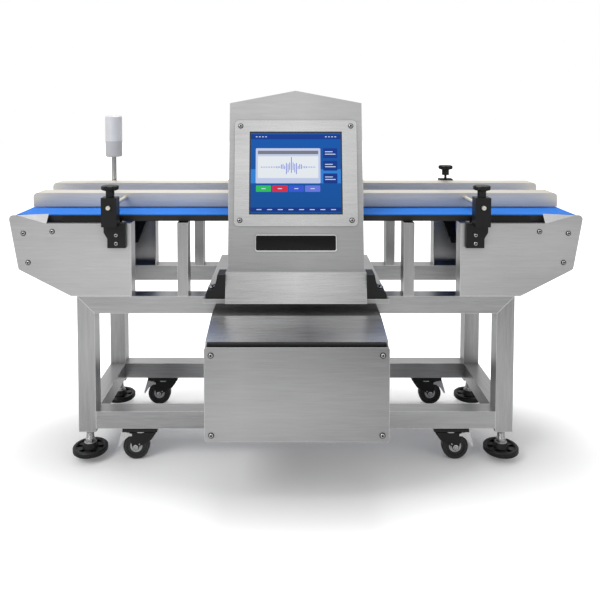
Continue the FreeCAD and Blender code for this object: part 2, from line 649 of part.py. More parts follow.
def build_carrier():
    plate = block("carrier_blank", ("0 - carrier_wide / 2", "front - carrier_front", "rail_top"),
                  ("carrier_wide", "carrier_front + carrier_back", "carrier_thick"))
    under = block("carrier_under", ("2 * sheet - carrier_wide / 2", "front - carrier_front + 2 * sheet",
                                    "rail_top - 1"),
                  ("carrier_wide - 4 * sheet", "carrier_front + carrier_back - 4 * sheet",
                   "carrier_thick - 2 * sheet + 1"))
    wall = "base_wide / 2"
    foot = "rail_top + carrier_thick"
    block_edge = wall + " + insulator_wide"
    tip = "carrier_wide / 2 - insulator_inset"
    block_top = [(block_edge, foot + " + insulator_tall"), (wall, foot + " + insulator_tall")]
    toed = [(wall, foot), (tip, foot), (tip, foot + " + insulator_toe / 2"),
            (tip + " - insulator_inset", foot + " + insulator_toe"),
            (block_edge + " + insulator_web", foot + " + insulator_toe"),
            (block_edge + " + insulator_web / 4", foot + " + insulator_tall * 0.75")]
    plain = [(wall, foot), (block_edge, foot)]
    feet = []
    for end in ENDS:
        profile = (toed if end == "front" else plain) + block_top
        y_start = "front - carrier_front + 4" if end == "front" else "front + head_back - insulator_deep - 4"
        for hand, side in SIDES.items():
            points = [(mirrored(side, across), up) for across, up in profile]
            feet.append(prism("insulator_%s_%s" % (end, hand), "XZ_Plane", points, y_start,
                              "insulator_deep"))
    return [cut("carrier_plate", plate, under), group("insulator_feet", *feet)]


# ---------------------------------------------------------------- electrical cabinet
def build_cabinet():
    def profile(wall):
        return [("front - %s" % wall, "cabinet_low + %s" % wall),
                ("front - %s" % wall, "cabinet_top - %s" % wall),
                ("front - cabinet_shelf", "cabinet_top - %s" % wall),
                ("front - cabinet_deep + %s" % wall, "cabinet_brow - %s" % wall),
                ("front - cabinet_deep + %s" % wall, "cabinet_low + %s" % wall)]
    solid = prism("cabinet_solid", "YZ_Plane", profile("0"), "0 - cabinet_wide / 2", "cabinet_wide")
    room = prism("cabinet_room", "YZ_Plane", profile("sheet"), "sheet - cabinet_wide / 2",
                 "cabinet_wide - 2 * sheet")
    mouth = block("cabinet_mouth", ("mouth_rim - cabinet_wide / 2", "front - cabinet_deep - 1",
                                    "cabinet_low + mouth_rim"),
                  ("cabinet_wide - 2 * mouth_rim", "sheet + 2", "door_tall - 2 * mouth_rim"))
    cabinet = cut("cabinet_body", cut("cabinet_shell", solid, room), mouth)

    outline = [("0 - door_wide / 2", "cabinet_low"), ("door_wide / 2", "cabinet_low"),
               ("door_wide / 2", "cabinet_low + door_tall"), ("0 - door_wide / 2",
                                                              "cabinet_low + door_tall")]
    skin = prism("door_skin", "XZ_Plane", outline, "front - cabinet_deep - door_thick", "door_thick")
    round_edges(skin, "door_round", along(1))
    back = block("door_back", ("sheet - door_wide / 2", "front - cabinet_deep - door_thick + sheet",
                               "cabinet_low + sheet"),
                 ("door_wide - 2 * sheet", "door_thick", "door_tall - 2 * sheet"))
    round_corner = cut("door_panel", skin, back)
    return [cabinet, round_corner]


# ---------------------------------------------------------------- product guides
def guide(name, y_start, lift, rod_start, rod_end):
    """Inverted channel along the belt, round at its upper ends, with two rods for the brackets."""
    top = lift + " + guide_tall"
    outline = [("0 - guide_long / 2", lift), ("guide_long / 2", lift), ("guide_long / 2", top),
               ("0 - guide_long / 2", top)]
    bar = prism(name + "_bar", "XZ_Plane", outline, y_start, "guide_wide")
    middle = SIZES[lift] + SIZES["guide_tall"] / 2
    round_edges(bar, "corner_round", lambda first, second: along(1)(first, second) and first.z > middle)
    inside = block(name + "_inside", ("0 - guide_long", y_start + " + sheet", lift + " - 1"),
                   ("2 * guide_long", "guide_wide - 2 * sheet", "guide_tall - sheet + 1"))
    channel = cut(name + "_channel", bar, inside)
    rods = [round_bar("%s_rod_%s" % (name, hand), (mirrored(side, "bracket_reach"), rod_start,
                                                   "rod_height"),
                      "rod_radius", "(%s) - (%s)" % (rod_end, rod_start), "y")
            for hand, side in SIDES.items()]
    return fuse(name, channel, *rods)


def bracket(hand, side, end):
    """Bracket on an end box: a bolted foot plate and a tall head that clamps a guide rod.

    The rear left one has no knob, and its head is lower than its guide.
    """
    head_top = "block_top - bare_drop" if (hand, end) == ("left", "rear") else "block_top"
    tag = "%s_%s" % (end, hand)
    centre = "bracket_reach"
    half = "block_wide / 2"
    foot_centre = "(bracket_reach - foot_shift)"
    foot_outline = [(foot_centre + " - foot_wide / 2", "foot_low"),
                    (foot_centre + " + foot_wide / 2", "foot_low"),
                    (foot_centre + " + foot_wide / 2", "block_low - 37"),
                    (centre + " + " + half, "block_low - 20"),
                    (centre + " + " + half, "block_low + 6"), (foot_centre + " - foot_wide / 2",
                                                               "block_low + 6")]
    foot_outline = [(mirrored(side, across), up) for across, up in foot_outline]
    foot_y = "front - foot_thick" if end == "front" else "front + frame_deep"
    foot = prism("foot_" + tag, "XZ_Plane", foot_outline, foot_y, "foot_thick")
    head_y = "front - block_deep" if end == "front" else "front + frame_deep"
    head = block("head_" + tag, (mirrored(side, centre) + " - " + half, head_y, "block_low"),
                 ("block_wide", "block_deep", head_top + " - block_low"))
    whole = fuse("bracket_solid_" + tag, foot, head)
    rod_way = round_bar("rod_way_" + tag, (mirrored(side, centre), head_y + " - 1", "rod_height"),
                        "rod_radius + run_fit", "block_deep + 2", "y")
    stud_way = round_bar("stud_way_" + tag, (mirrored(side, centre), head_y + " + block_deep / 2",
                                             "rod_height"),
                         "stud_radius + run_fit", "block_top - rod_height + 1")
    return cut("guide_bracket_" + tag, whole, fuse("bracket_ways_" + tag, rod_way, stud_way))


def star_knob(name, side, end, lift):
    """Lobed clamp knob with its hub and stud, turned and then fluted round the rim."""
    stud_end = "0 - %s - block_top + rod_height + rod_radius + 1" % lift
    outline = [("0", stud_end), ("stud_radius", stud_end), ("stud_radius", "roll_gap"),
               ("hub_radius", "roll_gap"),
               ("hub_radius", "hub_tall - 3"), ("knob_radius - 2", "hub_tall"),
               ("knob_radius", "hub_tall + 2"),
               ("knob_radius", "hub_tall + knob_tall - 2"), ("knob_radius - 3", "hub_tall + knob_tall"),
               ("0", "hub_tall + knob_tall")]
    body = revolve(name, outline)
    flute = body.newObject("Sketcher::SketchObject", name + "_flute_circle")
    plane = [item for item in body.Origin.OriginFeatures if item.Role == "XY_Plane"][0]
    flute.AttachmentSupport = [(plane, "")]
    flute.MapMode = "FlatFace"
    flute_reach = SIZES["knob_radius"] + SIZES["flute_radius"] / 2
    start = Part.Circle(FreeCAD.Vector(flute_reach, 0, 0), FreeCAD.Vector(0, 0, 1), SIZES["flute_radius"])
    flute.addGeometry(start)
    flute.addConstraint(Sketcher.Constraint("PointOnObject", 0, 3, -1))
    reach = flute.addConstraint(Sketcher.Constraint("DistanceX", -1, 1, 0, 3, flute_reach))
    bind(flute, "Constraints[%d]" % reach, "knob_radius + flute_radius * 0.6")
    size = flute.addConstraint(Sketcher.Constraint("Radius", 0, SIZES["flute_radius"]))
    bind(flute, "Constraints[%d]" % size, "flute_radius")
    pocket = body.newObject("PartDesign::Pocket", name + "_flute")
    pocket.Profile = flute
    pocket.Type = "ThroughAll"
    pocket.Midplane = True
    repeat_round(body, pocket, "knob_lobes")
    middle = "front - block_deep / 2" if end == "front" else "front + frame_deep + block_deep / 2"
    move(body, mirrored(side, "bracket_reach"), middle, "block_top + %s" % lift)
    return body


def build_guides():
    near = guide("front_guide", "front + near_guide", "near_lift", "front - block_deep - rod_proud",
                 "front + near_guide + sheet / 2")
    far = guide("rear_guide", "front + far_guide", "far_lift", "front + far_guide + guide_wide - sheet / 2",
                "front + frame_deep + block_deep + rod_proud")
    brackets = [bracket(hand, side, end) for end in ENDS for hand, side in SIDES.items()]
    knobs = [star_knob("knob_front_left", -1, "front", "0"), star_knob("knob_front_right", 1, "front", "0"),
             star_knob("knob_rear_right", 1, "rear", "far_knob_lift")]
    return [near, far, group("guide_brackets", *brackets)] + knobs


# ---------------------------------------------------------------- signal lamp
def build_lamp():
    centre_y = "front + frame_deep + lamp_out"
    pole = round_bar("pole_tube", ("0 - lamp_reach", centre_y, "lamp_clamp - 20"), "pole_radius",
                     "lamp_low - lamp_clamp + 20")
    clamp = block("pole_clamp", ("0 - lamp_reach - 2 * pole_radius", "front + frame_deep",
                                 "lamp_clamp - 20"),
                  ("4 * pole_radius", "lamp_out + pole_radius + 4", "40"))
    nodes = [fuse("lamp_pole", pole, clamp)]
    cup = revolve("lamp_base", [("0", "lamp_low"), ("lamp_radius - 4", "lamp_low"),
                                ("lamp_radius", "lamp_low + 4"),
                                ("lamp_radius", "lamp_joint"), ("0", "lamp_joint")])
    lens = revolve("lamp_lens", [("0", "lamp_joint"), ("lamp_radius", "lamp_joint"),
                                 ("lamp_radius", "lamp_high - 3"), ("lamp_radius - 3", "lamp_high"),
                                 ("0", "lamp_high")])
    for body in (cup, lens):
        move(body, "0 - lamp_reach", centre_y, 0)
        nodes.append(body)
    return nodes


# ---------------------------------------------------------------- casters
def caster_y(end):
    return end_y(end) + " + tube_side / 2"


def outboard(side, points):
    """Outline points that count from the swivel's axis, away from the machine's middle."""
    return [(mirrored(side, "caster_reach + (%s)" % across), up) for across, up in points]


def caster_plate(tag, side, end):
    """Pressed plate with a turned-down rim, its bearing race and the king pin."""
    swivel_x = mirrored(side, "caster_reach")
    low = "low_rail_base - plate_rim"
    pressed = block("plate_flat_" + tag, (swivel_x + " - caster_plate / 2", end_y(end), low),
                    ("caster_plate", "tube_side", "plate_rim"))
    under = block("plate_under_" + tag,
                  (swivel_x + " - caster_plate / 2 + press_thick", end_y(end) + " + press_thick",
                   low + " - 1"),
                  ("caster_plate - 2 * press_thick", "tube_side - 2 * press_thick",
                   "plate_rim - press_thick + 1"))
    race = round_bar("plate_race_" + tag, (swivel_x, caster_y(end), "race_low"), "race_radius", "race_tall")
    king = round_bar("plate_king_" + tag, (swivel_x, caster_y(end), "crown_low - 1"), "king_radius",
                     "race_low - crown_low + 1")
    return fuse("caster_plate_" + tag, cut("plate_shell_" + tag, pressed, under), race, king)


def caster_fork(tag, side, end):
    """Fork under the race: crown, two tapering cheeks that trail behind the swivel, and the axle."""
    middle_y = caster_y(end)
    swivel_x = mirrored(side, "caster_reach")
    crown_top = "crown_low + press_thick"
    head = round_bar("fork_head_" + tag, (swivel_x, middle_y, "crown_low"), "race_radius + race_lip",
                     "race_low - roll_gap - crown_low")
    crown = prism("fork_crown_" + tag, "XZ_Plane",
                  outboard(side, [("0 - crown_in", "crown_low"), ("crown_out", "crown_low"),
                                  ("crown_out", crown_top), ("0 - crown_in", crown_top)]),
                  middle_y + " - fork_half", "2 * fork_half")
    cheek_outline = outboard(side, [
        ("0 - crown_in", crown_top), ("0 - crown_in", "crown_low"),
        ("0 - crown_in + cheek_taper", "crown_low - cheek_drop"),
        ("caster_trail - cheek_round - 1", "wheel_radius + 3"),
        ("caster_trail - cheek_round * 0.8", "wheel_radius - cheek_round * 0.6"),
        ("caster_trail", "wheel_radius - cheek_round"),
        ("caster_trail + cheek_round * 0.8", "wheel_radius - cheek_round * 0.6"),
        ("caster_trail + cheek_round", "wheel_radius + 2"),
        ("crown_out", "crown_low - cheek_drop / 3"), ("crown_out", crown_top)])
    cheeks = [prism("fork_cheek_%s_%d" % (tag, number), "XZ_Plane", cheek_outline,
                    "%s + %s" % (middle_y, offset), "press_thick")
              for number, offset in enumerate(("fork_half - press_thick", "0 - fork_half"))]
    axle = round_bar("fork_axle_" + tag,
                     (mirrored(side, "caster_reach + caster_trail"), middle_y + " - fork_half - axle_proud",
                      "wheel_radius"), "axle_radius", "2 * (fork_half + axle_proud)", "y")
    solid = fuse("fork_solid_" + tag, head, crown, *cheeks, axle)
    king_way = round_bar("fork_way_" + tag, (swivel_x, middle_y, "crown_low - 2"), "king_radius + run_fit",
                         "race_low - crown_low + 4")
    return cut("caster_fork_" + tag, solid, king_way)


def caster_wheel(tag, side, end):
    """Moulded wheel: bored hub, sunk web and a tread with soft shoulders."""
    half = "wheel_wide / 2"
    near = [("axle_radius + run_fit", "0 - " + half), ("wheel_hub", "0 - " + half),
            ("wheel_hub + 1", "web_sunk - " + half), ("wheel_radius - tread_deep - 2",
                                                      "web_sunk - " + half),
            ("wheel_radius - tread_deep", "0 - " + half), ("wheel_radius - shoulder", "0 - " + half),
            ("wheel_radius", "shoulder - " + half)]
    far = [(across, "0 - (%s)" % up) for across, up in reversed(near)]
    wheel = revolve("caster_wheel_" + tag, near + far)
    wheel.Placement = FreeCAD.Placement(FreeCAD.Vector(), TURNS["y"])
    move(wheel, mirrored(side, "caster_reach + caster_trail"), caster_y(end), "wheel_radius")
    return wheel


def caster_pedal(tag, side, end):
    """Brake pedal: two ears beside the fork and a tread that joins them down the outer edge."""
    middle_y = caster_y(end)
    top = "crown_low + pedal_rise"
    toe = "wheel_radius + pedal_toe"
    ear_outline = outboard(side, [
        ("pedal_root", "crown_low - 5"), ("pedal_root", "crown_low + 1"), ("pedal_shoulder - 7", top),
        ("pedal_shoulder", top), ("pedal_reach", toe), ("pedal_reach - 4", toe + " - 3"),
        ("pedal_shoulder - 5", "crown_low - 18"), ("pedal_root + 9", "crown_low - 6")])
    ears = [prism("pedal_ear_%s_%d" % (tag, number), "XZ_Plane", ear_outline,
                  "%s + %s" % (middle_y, offset), "pedal_thick")
            for number, offset in enumerate(("fork_half + roll_gap",
                                             "0 - fork_half - roll_gap - pedal_thick"))]
    tread_outline = outboard(side, [("pedal_shoulder - pedal_thick", top), ("pedal_shoulder", top),
                                    ("pedal_reach", toe), ("pedal_reach - pedal_thick", toe)])
    tread = prism("pedal_tread_" + tag, "XZ_Plane", tread_outline,
                  middle_y + " - fork_half - roll_gap - pedal_thick",
                  "2 * (fork_half + roll_gap + pedal_thick)")
    return fuse("caster_pedal_" + tag, tread, *ears)


def build_casters():
    nodes = []
    plates = []
    for end in ENDS:
        for hand, side in SIDES.items():
            tag = "%s_%s" % (end, hand)
            plates.append(caster_plate(tag, side, end))
            nodes.append(caster_fork(tag, side, end))
            nodes.append(caster_wheel(tag, side, end))
            nodes.append(caster_pedal(tag, side, end))
    nodes.append(group("caster_plates", *plates))
    return nodes


# ---------------------------------------------------------------- levelling feet
def foot_pad(tag):
    """Dished pad with a thick rim, a centre boss and a ring of moulded pockets."""
    rim = "pad_lift + pad_rim"
    boss = "pad_lift + pad_hub"
    body = revolve("pad_" + tag, [
        ("0", "pad_lift"), ("pad_radius - pad_soft", "pad_lift"), ("pad_radius", "pad_lift + pad_soft"),
        ("pad_radius", rim + " - pad_soft"), ("pad_radius - pad_soft", rim),
        ("pad_radius - 3 * pad_soft", rim),
        ("pad_radius - 4 * pad_soft", rim + " - pad_soft"), ("pad_boss + 2 * pad_soft",
                                                             rim + " - pad_soft"),
        ("pad_boss", boss), ("0", boss)])
    near = "pad_boss + 2 * pad_soft"
    far = "pad_radius - 4 * pad_soft"
    pocket_plan = sketch_on(body, "XY_Plane", body.Name + "_pocket_plan", [
        (near, "0 - pad_pocket / 2"), (far, "0 - pad_pocket"), (far, "pad_pocket"),
        (near, "pad_pocket / 2")])
    bind(pocket_plan, "AttachmentOffset.Base.z", "pad_lift + pad_rim / 2")
    pocket = body.newObject("PartDesign::Pocket", body.Name + "_pocket")
    pocket.Profile = pocket_plan
    pocket.Type = "ThroughAll"
    pocket.Reversed = True
    return repeat_round(body, pocket, "pad_pockets")


def build_feet():
    nodes = []
    for end in ENDS:
        for hand, side in SIDES.items():
            tag = "%s_%s" % (end, hand)
            centre_x = mirrored(side, "half_long - tube_side / 2")
            centre_y = end_y(end) + " + tube_side / 2"
            pad = foot_pad(tag)
            move(pad, centre_x, centre_y, 0)
            nut = doc.addObject("Part::Prism", "nut_" + tag)
            nut.Polygon = 6
            bind(nut, "Circumradius", "nut_radius")
            bind(nut, "Height", "nut_tall")
            move(nut, centre_x, centre_y, "pad_lift + pad_hub")
            stem = round_bar("stem_" + tag, (centre_x, centre_y, "pad_lift + pad_hub"), "spindle_radius",
                             "spindle_top - pad_lift - pad_hub")
            nodes.append(group("levelling_foot_" + tag, pad, fuse("spindle_" + tag, nut, stem)))
    return nodes


# ---------------------------------------------------------------- build, check and write
nodes = (build_stand() + build_bed() + build_rollers() + build_roller_plates() + build_belt()
         + build_end_boxes() + build_head() + build_carrier() + build_cabinet() + build_guides()
         + build_lamp() + build_casters() + build_feet())
doc.recompute()

for thing in doc.Objects:
    bad = {"Invalid", "Error"} & set(thing.State)
    if bad:
        raise ValueError("%s failed: %s" % (thing.Name, sorted(thing.State)))

for thing in nodes:
    if thing.Shape.isNull() or not thing.Shape.isValid():
        raise ValueError("%s has no valid shape" % thing.Label)

os.makedirs("parts", exist_ok=True)
for thing in nodes:
    thing.Shape.exportStep("parts/%s.step" % thing.Label)
print("wrote %d sub-parts" % len(nodes))
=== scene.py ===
# %% [markdown]
# # Conveyor metal detector
# The machine is already built as solids: a welded stainless stand, a belt bed with its rollers, a search head
# with a tunnel, guides, casters and feet. This notebook dresses it: finishes for every surface, and the small
# things that the solids leave out, such as screws, the screen's picture and the bare nameplate.
# Everything is in metres in the machine's own frame, so each place is read from the frame and never guessed.

# %% Load the frame
import math

import bpy
from mathutils import Matrix, Vector


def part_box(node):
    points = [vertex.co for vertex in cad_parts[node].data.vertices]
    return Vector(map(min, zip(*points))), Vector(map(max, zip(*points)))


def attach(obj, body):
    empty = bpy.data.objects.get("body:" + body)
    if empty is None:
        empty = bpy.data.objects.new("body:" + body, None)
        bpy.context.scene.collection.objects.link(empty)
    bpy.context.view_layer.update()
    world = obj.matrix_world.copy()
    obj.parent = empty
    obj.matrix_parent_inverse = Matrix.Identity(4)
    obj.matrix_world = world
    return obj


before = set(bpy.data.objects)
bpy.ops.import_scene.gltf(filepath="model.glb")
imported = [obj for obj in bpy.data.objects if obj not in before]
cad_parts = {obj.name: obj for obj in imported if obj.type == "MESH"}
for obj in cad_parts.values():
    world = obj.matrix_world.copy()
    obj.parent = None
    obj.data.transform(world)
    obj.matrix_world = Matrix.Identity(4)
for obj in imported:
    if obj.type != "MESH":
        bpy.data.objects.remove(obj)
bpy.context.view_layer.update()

# %% [markdown]
# ## Camera
# A product picture is taken from the front with the lens level with the screen. The lens looks down a little,
# and its shift slides the picture so that the upright edges stay nearly upright.

# %% Set up the camera
LENS_MM = 39.65
CAMERA_PLACE = Vector((-0.020, -1.9555, 1.0518))
CAMERA_DIP = 0.051

bpy.ops.object.camera_add(location=CAMERA_PLACE, rotation=(math.pi / 2 - CAMERA_DIP, 0, 0))
camera = bpy.context.object
camera.data.sensor_width = 36
camera.data.lens = LENS_MM
camera.data.shift_x = 0.0187
camera.data.shift_y = -0.2817
bpy.context.scene.camera = camera
print("camera stands %.2f m in front of the stand" % -CAMERA_PLACE.y)

# %% [markdown]
# ## Shader sums
# Node trees for brushed metal are mostly arithmetic on coordinates. A small class wraps one socket so that the
# arithmetic can be written as Python sums, and each sum adds its own Math node. Colours are mixed with Mix nodes,
# because a Math node would turn them grey.

# %% Wrap a socket
class Signal:
    """One output socket that can stand in a Python sum."""

    def __init__(self, shade, socket):
        self.shade = shade
        self.socket = socket

    def _sum(self, operation, first, second):
        return self.shade.node("ShaderNodeMath", {"operation": operation}, {0: first, 1: second})

    def __add__(self, other):
        return self._sum("ADD", self, other)

    __radd__ = __add__

    def __sub__(self, other):
        return self._sum("SUBTRACT", self, other)

    def __rsub__(self, other):
        return self._sum("SUBTRACT", other, self)

    def __mul__(self, other):
        return self._sum("MULTIPLY", self, other)

    __rmul__ = __mul__

    def __truediv__(self, other):
        return self._sum("DIVIDE", self, other)

    def __abs__(self):
        return self._sum("ABSOLUTE", self, 0)

    def capped(self):
        return self.shade.node("ShaderNodeMapRange", {"clamp": True}, {"Value": self})

    def above(self, edge, soft=0.0005):
        """0 below the edge and 1 above it, with a short ramp between."""
        return self.shade.node("ShaderNodeMapRange", {"clamp": True},
                               {"Value": self, "From Min": edge - soft, "From Max": edge + soft})


class Shade:
    """A new material whose Principled shader is fed by signals."""

    def __init__(self, name):
        self.material = bpy.data.materials.new(name)
        self.material.use_nodes = True
        self.tree = self.material.node_tree
        self.surface = self.tree.nodes["Principled BSDF"]
        self.place = self.node("ShaderNodeTexCoord", {}, {}, "Object")

    def node(self, kind, settings, sockets, out=None):
        """Add a node: its settings first, then the values or links of its sockets."""
        item = self.tree.nodes.new(kind)
        for name, value in settings.items():
            setattr(item, name, value)
        for name, value in sockets.items():
            if isinstance(name, int):
                target = item.inputs[name]
            else:
                target = [socket for socket in item.inputs if socket.name == name and socket.enabled][0]
            self.feed(target, value)
        if out is None:
            return Signal(self, [socket for socket in item.outputs if socket.enabled][0])
        return Signal(self, item.outputs[out])

    def feed(self, target, value):
        if isinstance(value, Signal):
            self.tree.links.new(value.socket, target)
        else:
            target.default_value = value

    def axes(self):
        """The place's three coordinates, each as a signal."""
        split = self.node("ShaderNodeSeparateXYZ", {}, {"Vector": self.place}, "X")
        return [Signal(self, split.socket.node.outputs[axis]) for axis in "XYZ"]

    def noise(self, scale, detail=3, stretch=(1, 1, 1)):
        vector = self.node("ShaderNodeMapping", {}, {"Vector": self.place, "Scale": stretch})
        return self.node("ShaderNodeTexNoise", {}, {"Vector": vector, "Scale": scale, "Detail": detail}, "Fac")

    def blend(self, share, first, second):
        return self.node("ShaderNodeMix", {"data_type": "RGBA"}, {"Factor": share, "A": first, "B": second})

    def edge_highlight_and_wear(self, width):
        """1 along the piece's own folds and rims, 0 on its flats: the mask of a painted highlight that also stands
        for rubbed wear.
        """
        soft = self.node("ShaderNodeBevel", {"samples": 6}, {"Radius": width})
        true = self.node("ShaderNodeNewGeometry", {}, {}, "True Normal")
        agree = self.node("ShaderNodeVectorMath", {"operation": "DOT_PRODUCT"}, {0: soft, 1: true}, "Value")
        return self.node("ShaderNodeMapRange", {"clamp": True},
                         {"Value": agree, "From Min": 0.995, "From Max": 0.80})

    def painted_joint_shade(self, reach):
        """0 in the open and 1 deep in a joint between two pieces, where the colour gets painted shade."""
        open_share = self.node("ShaderNodeAmbientOcclusion", {"samples": 8}, {"Distance": reach}, "AO")
        return 1 - open_share

    def bump(self, height, strength, distance):
        return self.node("ShaderNodeBump", {}, {"Height": height, "Strength": strength, "Distance": distance},
                         "Normal")

    def finish(self, **sockets):
        """Set the shader's sockets by their names, with _ for a space."""
        for name, value in sockets.items():
            self.feed(self.surface.inputs[name.replace("_", " ")], value)
        return self.material


def grey(level, tint=(0, 0, 0)):
    return (level + tint[0], level + tint[1], level + tint[2], 1)


print("shader sums ready")

# %% [markdown]
# ## Brushed stainless
# A belt grinder leaves fine parallel scratches on sheet and tube. They run with the length of a tube and across
# a panel, stretch highlights, and vary a little in tone. The finish is metal with a noise that is squeezed
# across the grain, once fine for the bump and the gloss and once broad for the cloudy tone of rolled sheet.
# The colour also carries painted light: painted shade deep in joints, a painted highlight along folds and rims,
# and on some panels a broad painted highlight, which on the cabinet is turned round to a painted dark reflection.

# %% Make the stainless finishes
GRAIN = {"along_x": (0.02, 1, 1), "along_y": (1, 0.02, 1), "along_z": (1, 1, 0.02)}
EDGE = 0.0022
JOINT = 0.030


def brushed(name, grain, dark, light, gloss, scratch=0.06, painted_reflection=None, metal=1.0, warm=0.0):
    """Stainless sheet or tube with its grain along one axis. The optional (x, z, width, height) paints a broad
    highlight: the colour is lighter towards (x, z), or darker there when dark is given above light.
    """
    shade = Shade(name)
    squeeze = GRAIN[grain]
    fine = shade.noise(900, 4, squeeze)
    streak = shade.noise(150, 3, tuple(1 if part == 1 else 0.05 for part in squeeze))
    broad = shade.noise(9, 3, tuple(1 if part == 1 else 0.15 for part in squeeze))
    cloud = shade.noise(2.6, 2)
    tone = fine * 0.30 + streak * 0.20 + broad * 0.25 + cloud * 0.25
    share = tone.above(0.5, 0.16)
    # Painted highlight: a broad patch lighter towards (x, z), where the lamps would reflect in the sheet.
    if painted_reflection:
        across, _, height = shade.axes()
        middle_x, middle_z, wide, tall = painted_reflection
        far = abs(across - middle_x) / wide + abs(height - middle_z) / tall
        share = (share * 0.45 + (1 - far) * 0.55).capped()
    # The warm part of the cast is painted to offset the belt's blue reflection; the faint blue is the steel's own.
    cast = (warm, warm * 0.4, 0.004 - warm)
    sheet = shade.blend(share, grey(dark, cast), grey(light, cast))
    # Painted shade: the colour darkens towards a third of the dark level deep in joints, where shade falls.
    shaded_sheet = shade.blend(shade.painted_joint_shade(JOINT) * 0.75, sheet, grey(dark * 0.30))
    # Painted highlight along folds and rims, lighter than the sheet's light level; it also stands for rubbed wear,
    # and the gloss rises there.
    edge = shade.edge_highlight_and_wear(EDGE)
    colour = shade.blend(edge * 0.85, shaded_sheet, grey(min(0.95, light * 1.75)))
    rough = gloss + (fine - 0.5) * 0.16 + (cloud - 0.5) * 0.08 - edge * gloss * 0.4
    return shade.finish(Base_Color=colour, Metallic=metal, Roughness=rough,
                        Normal=shade.bump(fine, scratch, 0.0004))


stainless = {grain: brushed("stainless_" + grain, grain, 0.28, 0.50, 0.32) for grain in GRAIN}
# These panels are copies of one stainless whose dark and light levels differ part by part, painting how bright each
# part comes out in the light; each tuple paints a broad highlight on its panel.
cover_steel = brushed("cover_stainless", "along_x", 0.40, 0.74, 0.32, painted_reflection=(0.0, 0.66, 1.3, 0.40))
head_steel = brushed("head_stainless", "along_x", 0.34, 0.62, 0.34, painted_reflection=(0.02, 0.98, 0.42, 0.62))
bezel_steel = brushed("bezel_stainless", "along_x", 0.46, 0.84, 0.28, painted_reflection=(0.02, 0.86, 0.36, 0.50))
base_steel = brushed("base_stainless", "along_x", 0.32, 0.86, 0.30, painted_reflection=(0.0, 0.54, 0.24, 0.40))
# Painted reflection: dark is given above light here, so the middle of the cabinet is painted dark as the reflection
# of the head base in its lid, and its sides light.
cabinet_steel = brushed("cabinet_stainless", "along_x", 0.80, 0.10, 0.30, painted_reflection=(0.03, 0.45, 0.24, 4.0))
door_steel = brushed("door_stainless", "along_x", 0.24, 0.50, 0.34, painted_reflection=(-0.14, 0.26, 0.45, 0.40))
# The guides get a warm tint painted into their colour, to offset the blue reflection of the belt in them.
guide_steel = brushed("guide_stainless", "along_x", 0.54, 0.74, 0.46, metal=0.85, warm=0.06)
screw_steel = brushed("screw_steel", "along_z", 0.30, 0.48, 0.24, 0.02)
bright_steel = brushed("bright_steel", "along_z", 0.50, 0.74, 0.20, 0.02)
roller_steel = brushed("roller_steel", "along_y", 0.36, 0.50, 0.30)
print("stainless finishes:", len(stainless) + 10)

# %% [markdown]
# ## Belt and plastics
# The belt is a blue coated fabric: a smooth, slightly glossy face with a faint cross weave under it and light
# rub marks along its run. The sliding bed, brackets and knobs are black engineering plastics, which differ only
# in gloss and in the fine spark texture of their moulds. The tunnel is lined in pale plastic.

# %% Make the belt and the plastics
def belt_finish():
    shade = Shade("belt_blue")
    rub = shade.noise(60, 3, (0.03, 1, 1))
    cloud = shade.noise(4, 2)
    weave = shade.noise(700, 2)
    colour = shade.blend(rub * 0.6 + cloud * 0.4, (0.003, 0.165, 0.68, 1), (0.018, 0.215, 0.80, 1))
    return shade.finish(Base_Color=colour, Roughness=0.50 + rub * 0.12, Specular_IOR_Level=0.18,
                        Normal=shade.bump(weave, 0.08, 0.0003))


def moulded(name, dark, light, gloss, pit=0.15, size=900):
    """Moulded plastic: one colour with a cloudy tone and a fine spark texture."""
    shade = Shade(name)
    pits = shade.noise(size, 3)
    cloud = shade.noise(14, 3)
    return shade.finish(Base_Color=shade.blend(cloud, dark, light), Roughness=gloss + (pits - 0.5) * 0.2,
                        Specular_IOR_Level=0.3, Normal=shade.bump(pits, pit, 0.0003))


belt_blue = belt_finish()
bed_dark = moulded("bed_dark", grey(0.012), grey(0.022), 0.55)
black_plastic = moulded("black_plastic", grey(0.004), grey(0.010), 0.40)
# This black is real black paint on plates, and painted shade in screw sockets and in the rings under screw heads.
black_paint = moulded("black_paint", grey(0.004), grey(0.009), 0.34, 0.05, 300)
liner_plastic = moulded("liner_plastic", grey(0.60), grey(0.72), 0.45, 0.05)
lamp_grey = moulded("lamp_grey", grey(0.52, (0, 0, 0.006)), grey(0.62, (0, 0, 0.006)), 0.35, 0.04)
print("belt and plastics ready")

# %% [markdown]
# ## Two-tone parts
# Some solids are two materials in one piece: a levelling foot has a black pad under a zinc nut and spindle, and
# a caster wheel has a hard black tread round a grey hub. A mask on the height, or on the distance from the axle,
# splits such a piece. The mask reads the piece's own place, so it turns with the wheel.

# %% Make the foot, wheel, lamp and screen finishes
NUT_FOOT = 0.0478
WHEEL_AXLE = (0.464, 0.0375)
HUB_RADIUS = 0.0175
RACE_FOOT = 0.0812


def foot_finish():
    shade = Shade("levelling_foot")
    height = shade.axes()[2]
    pits = shade.noise(800, 3)
    steel = height.above(NUT_FOOT)
    colour = shade.blend(steel, grey(0.003), grey(0.55))
    threads = shade.node("ShaderNodeMath", {"operation": "SINE"}, {0: height * (2 * math.pi / 0.0025)})
    return shade.finish(Base_Color=colour, Metallic=steel, Roughness=0.45 - steel * 0.2 + (pits - 0.5) * 0.12,
                        Specular_IOR_Level=0.3,
                        Normal=shade.bump(threads * height.above(0.0585), 0.6, 0.0006))


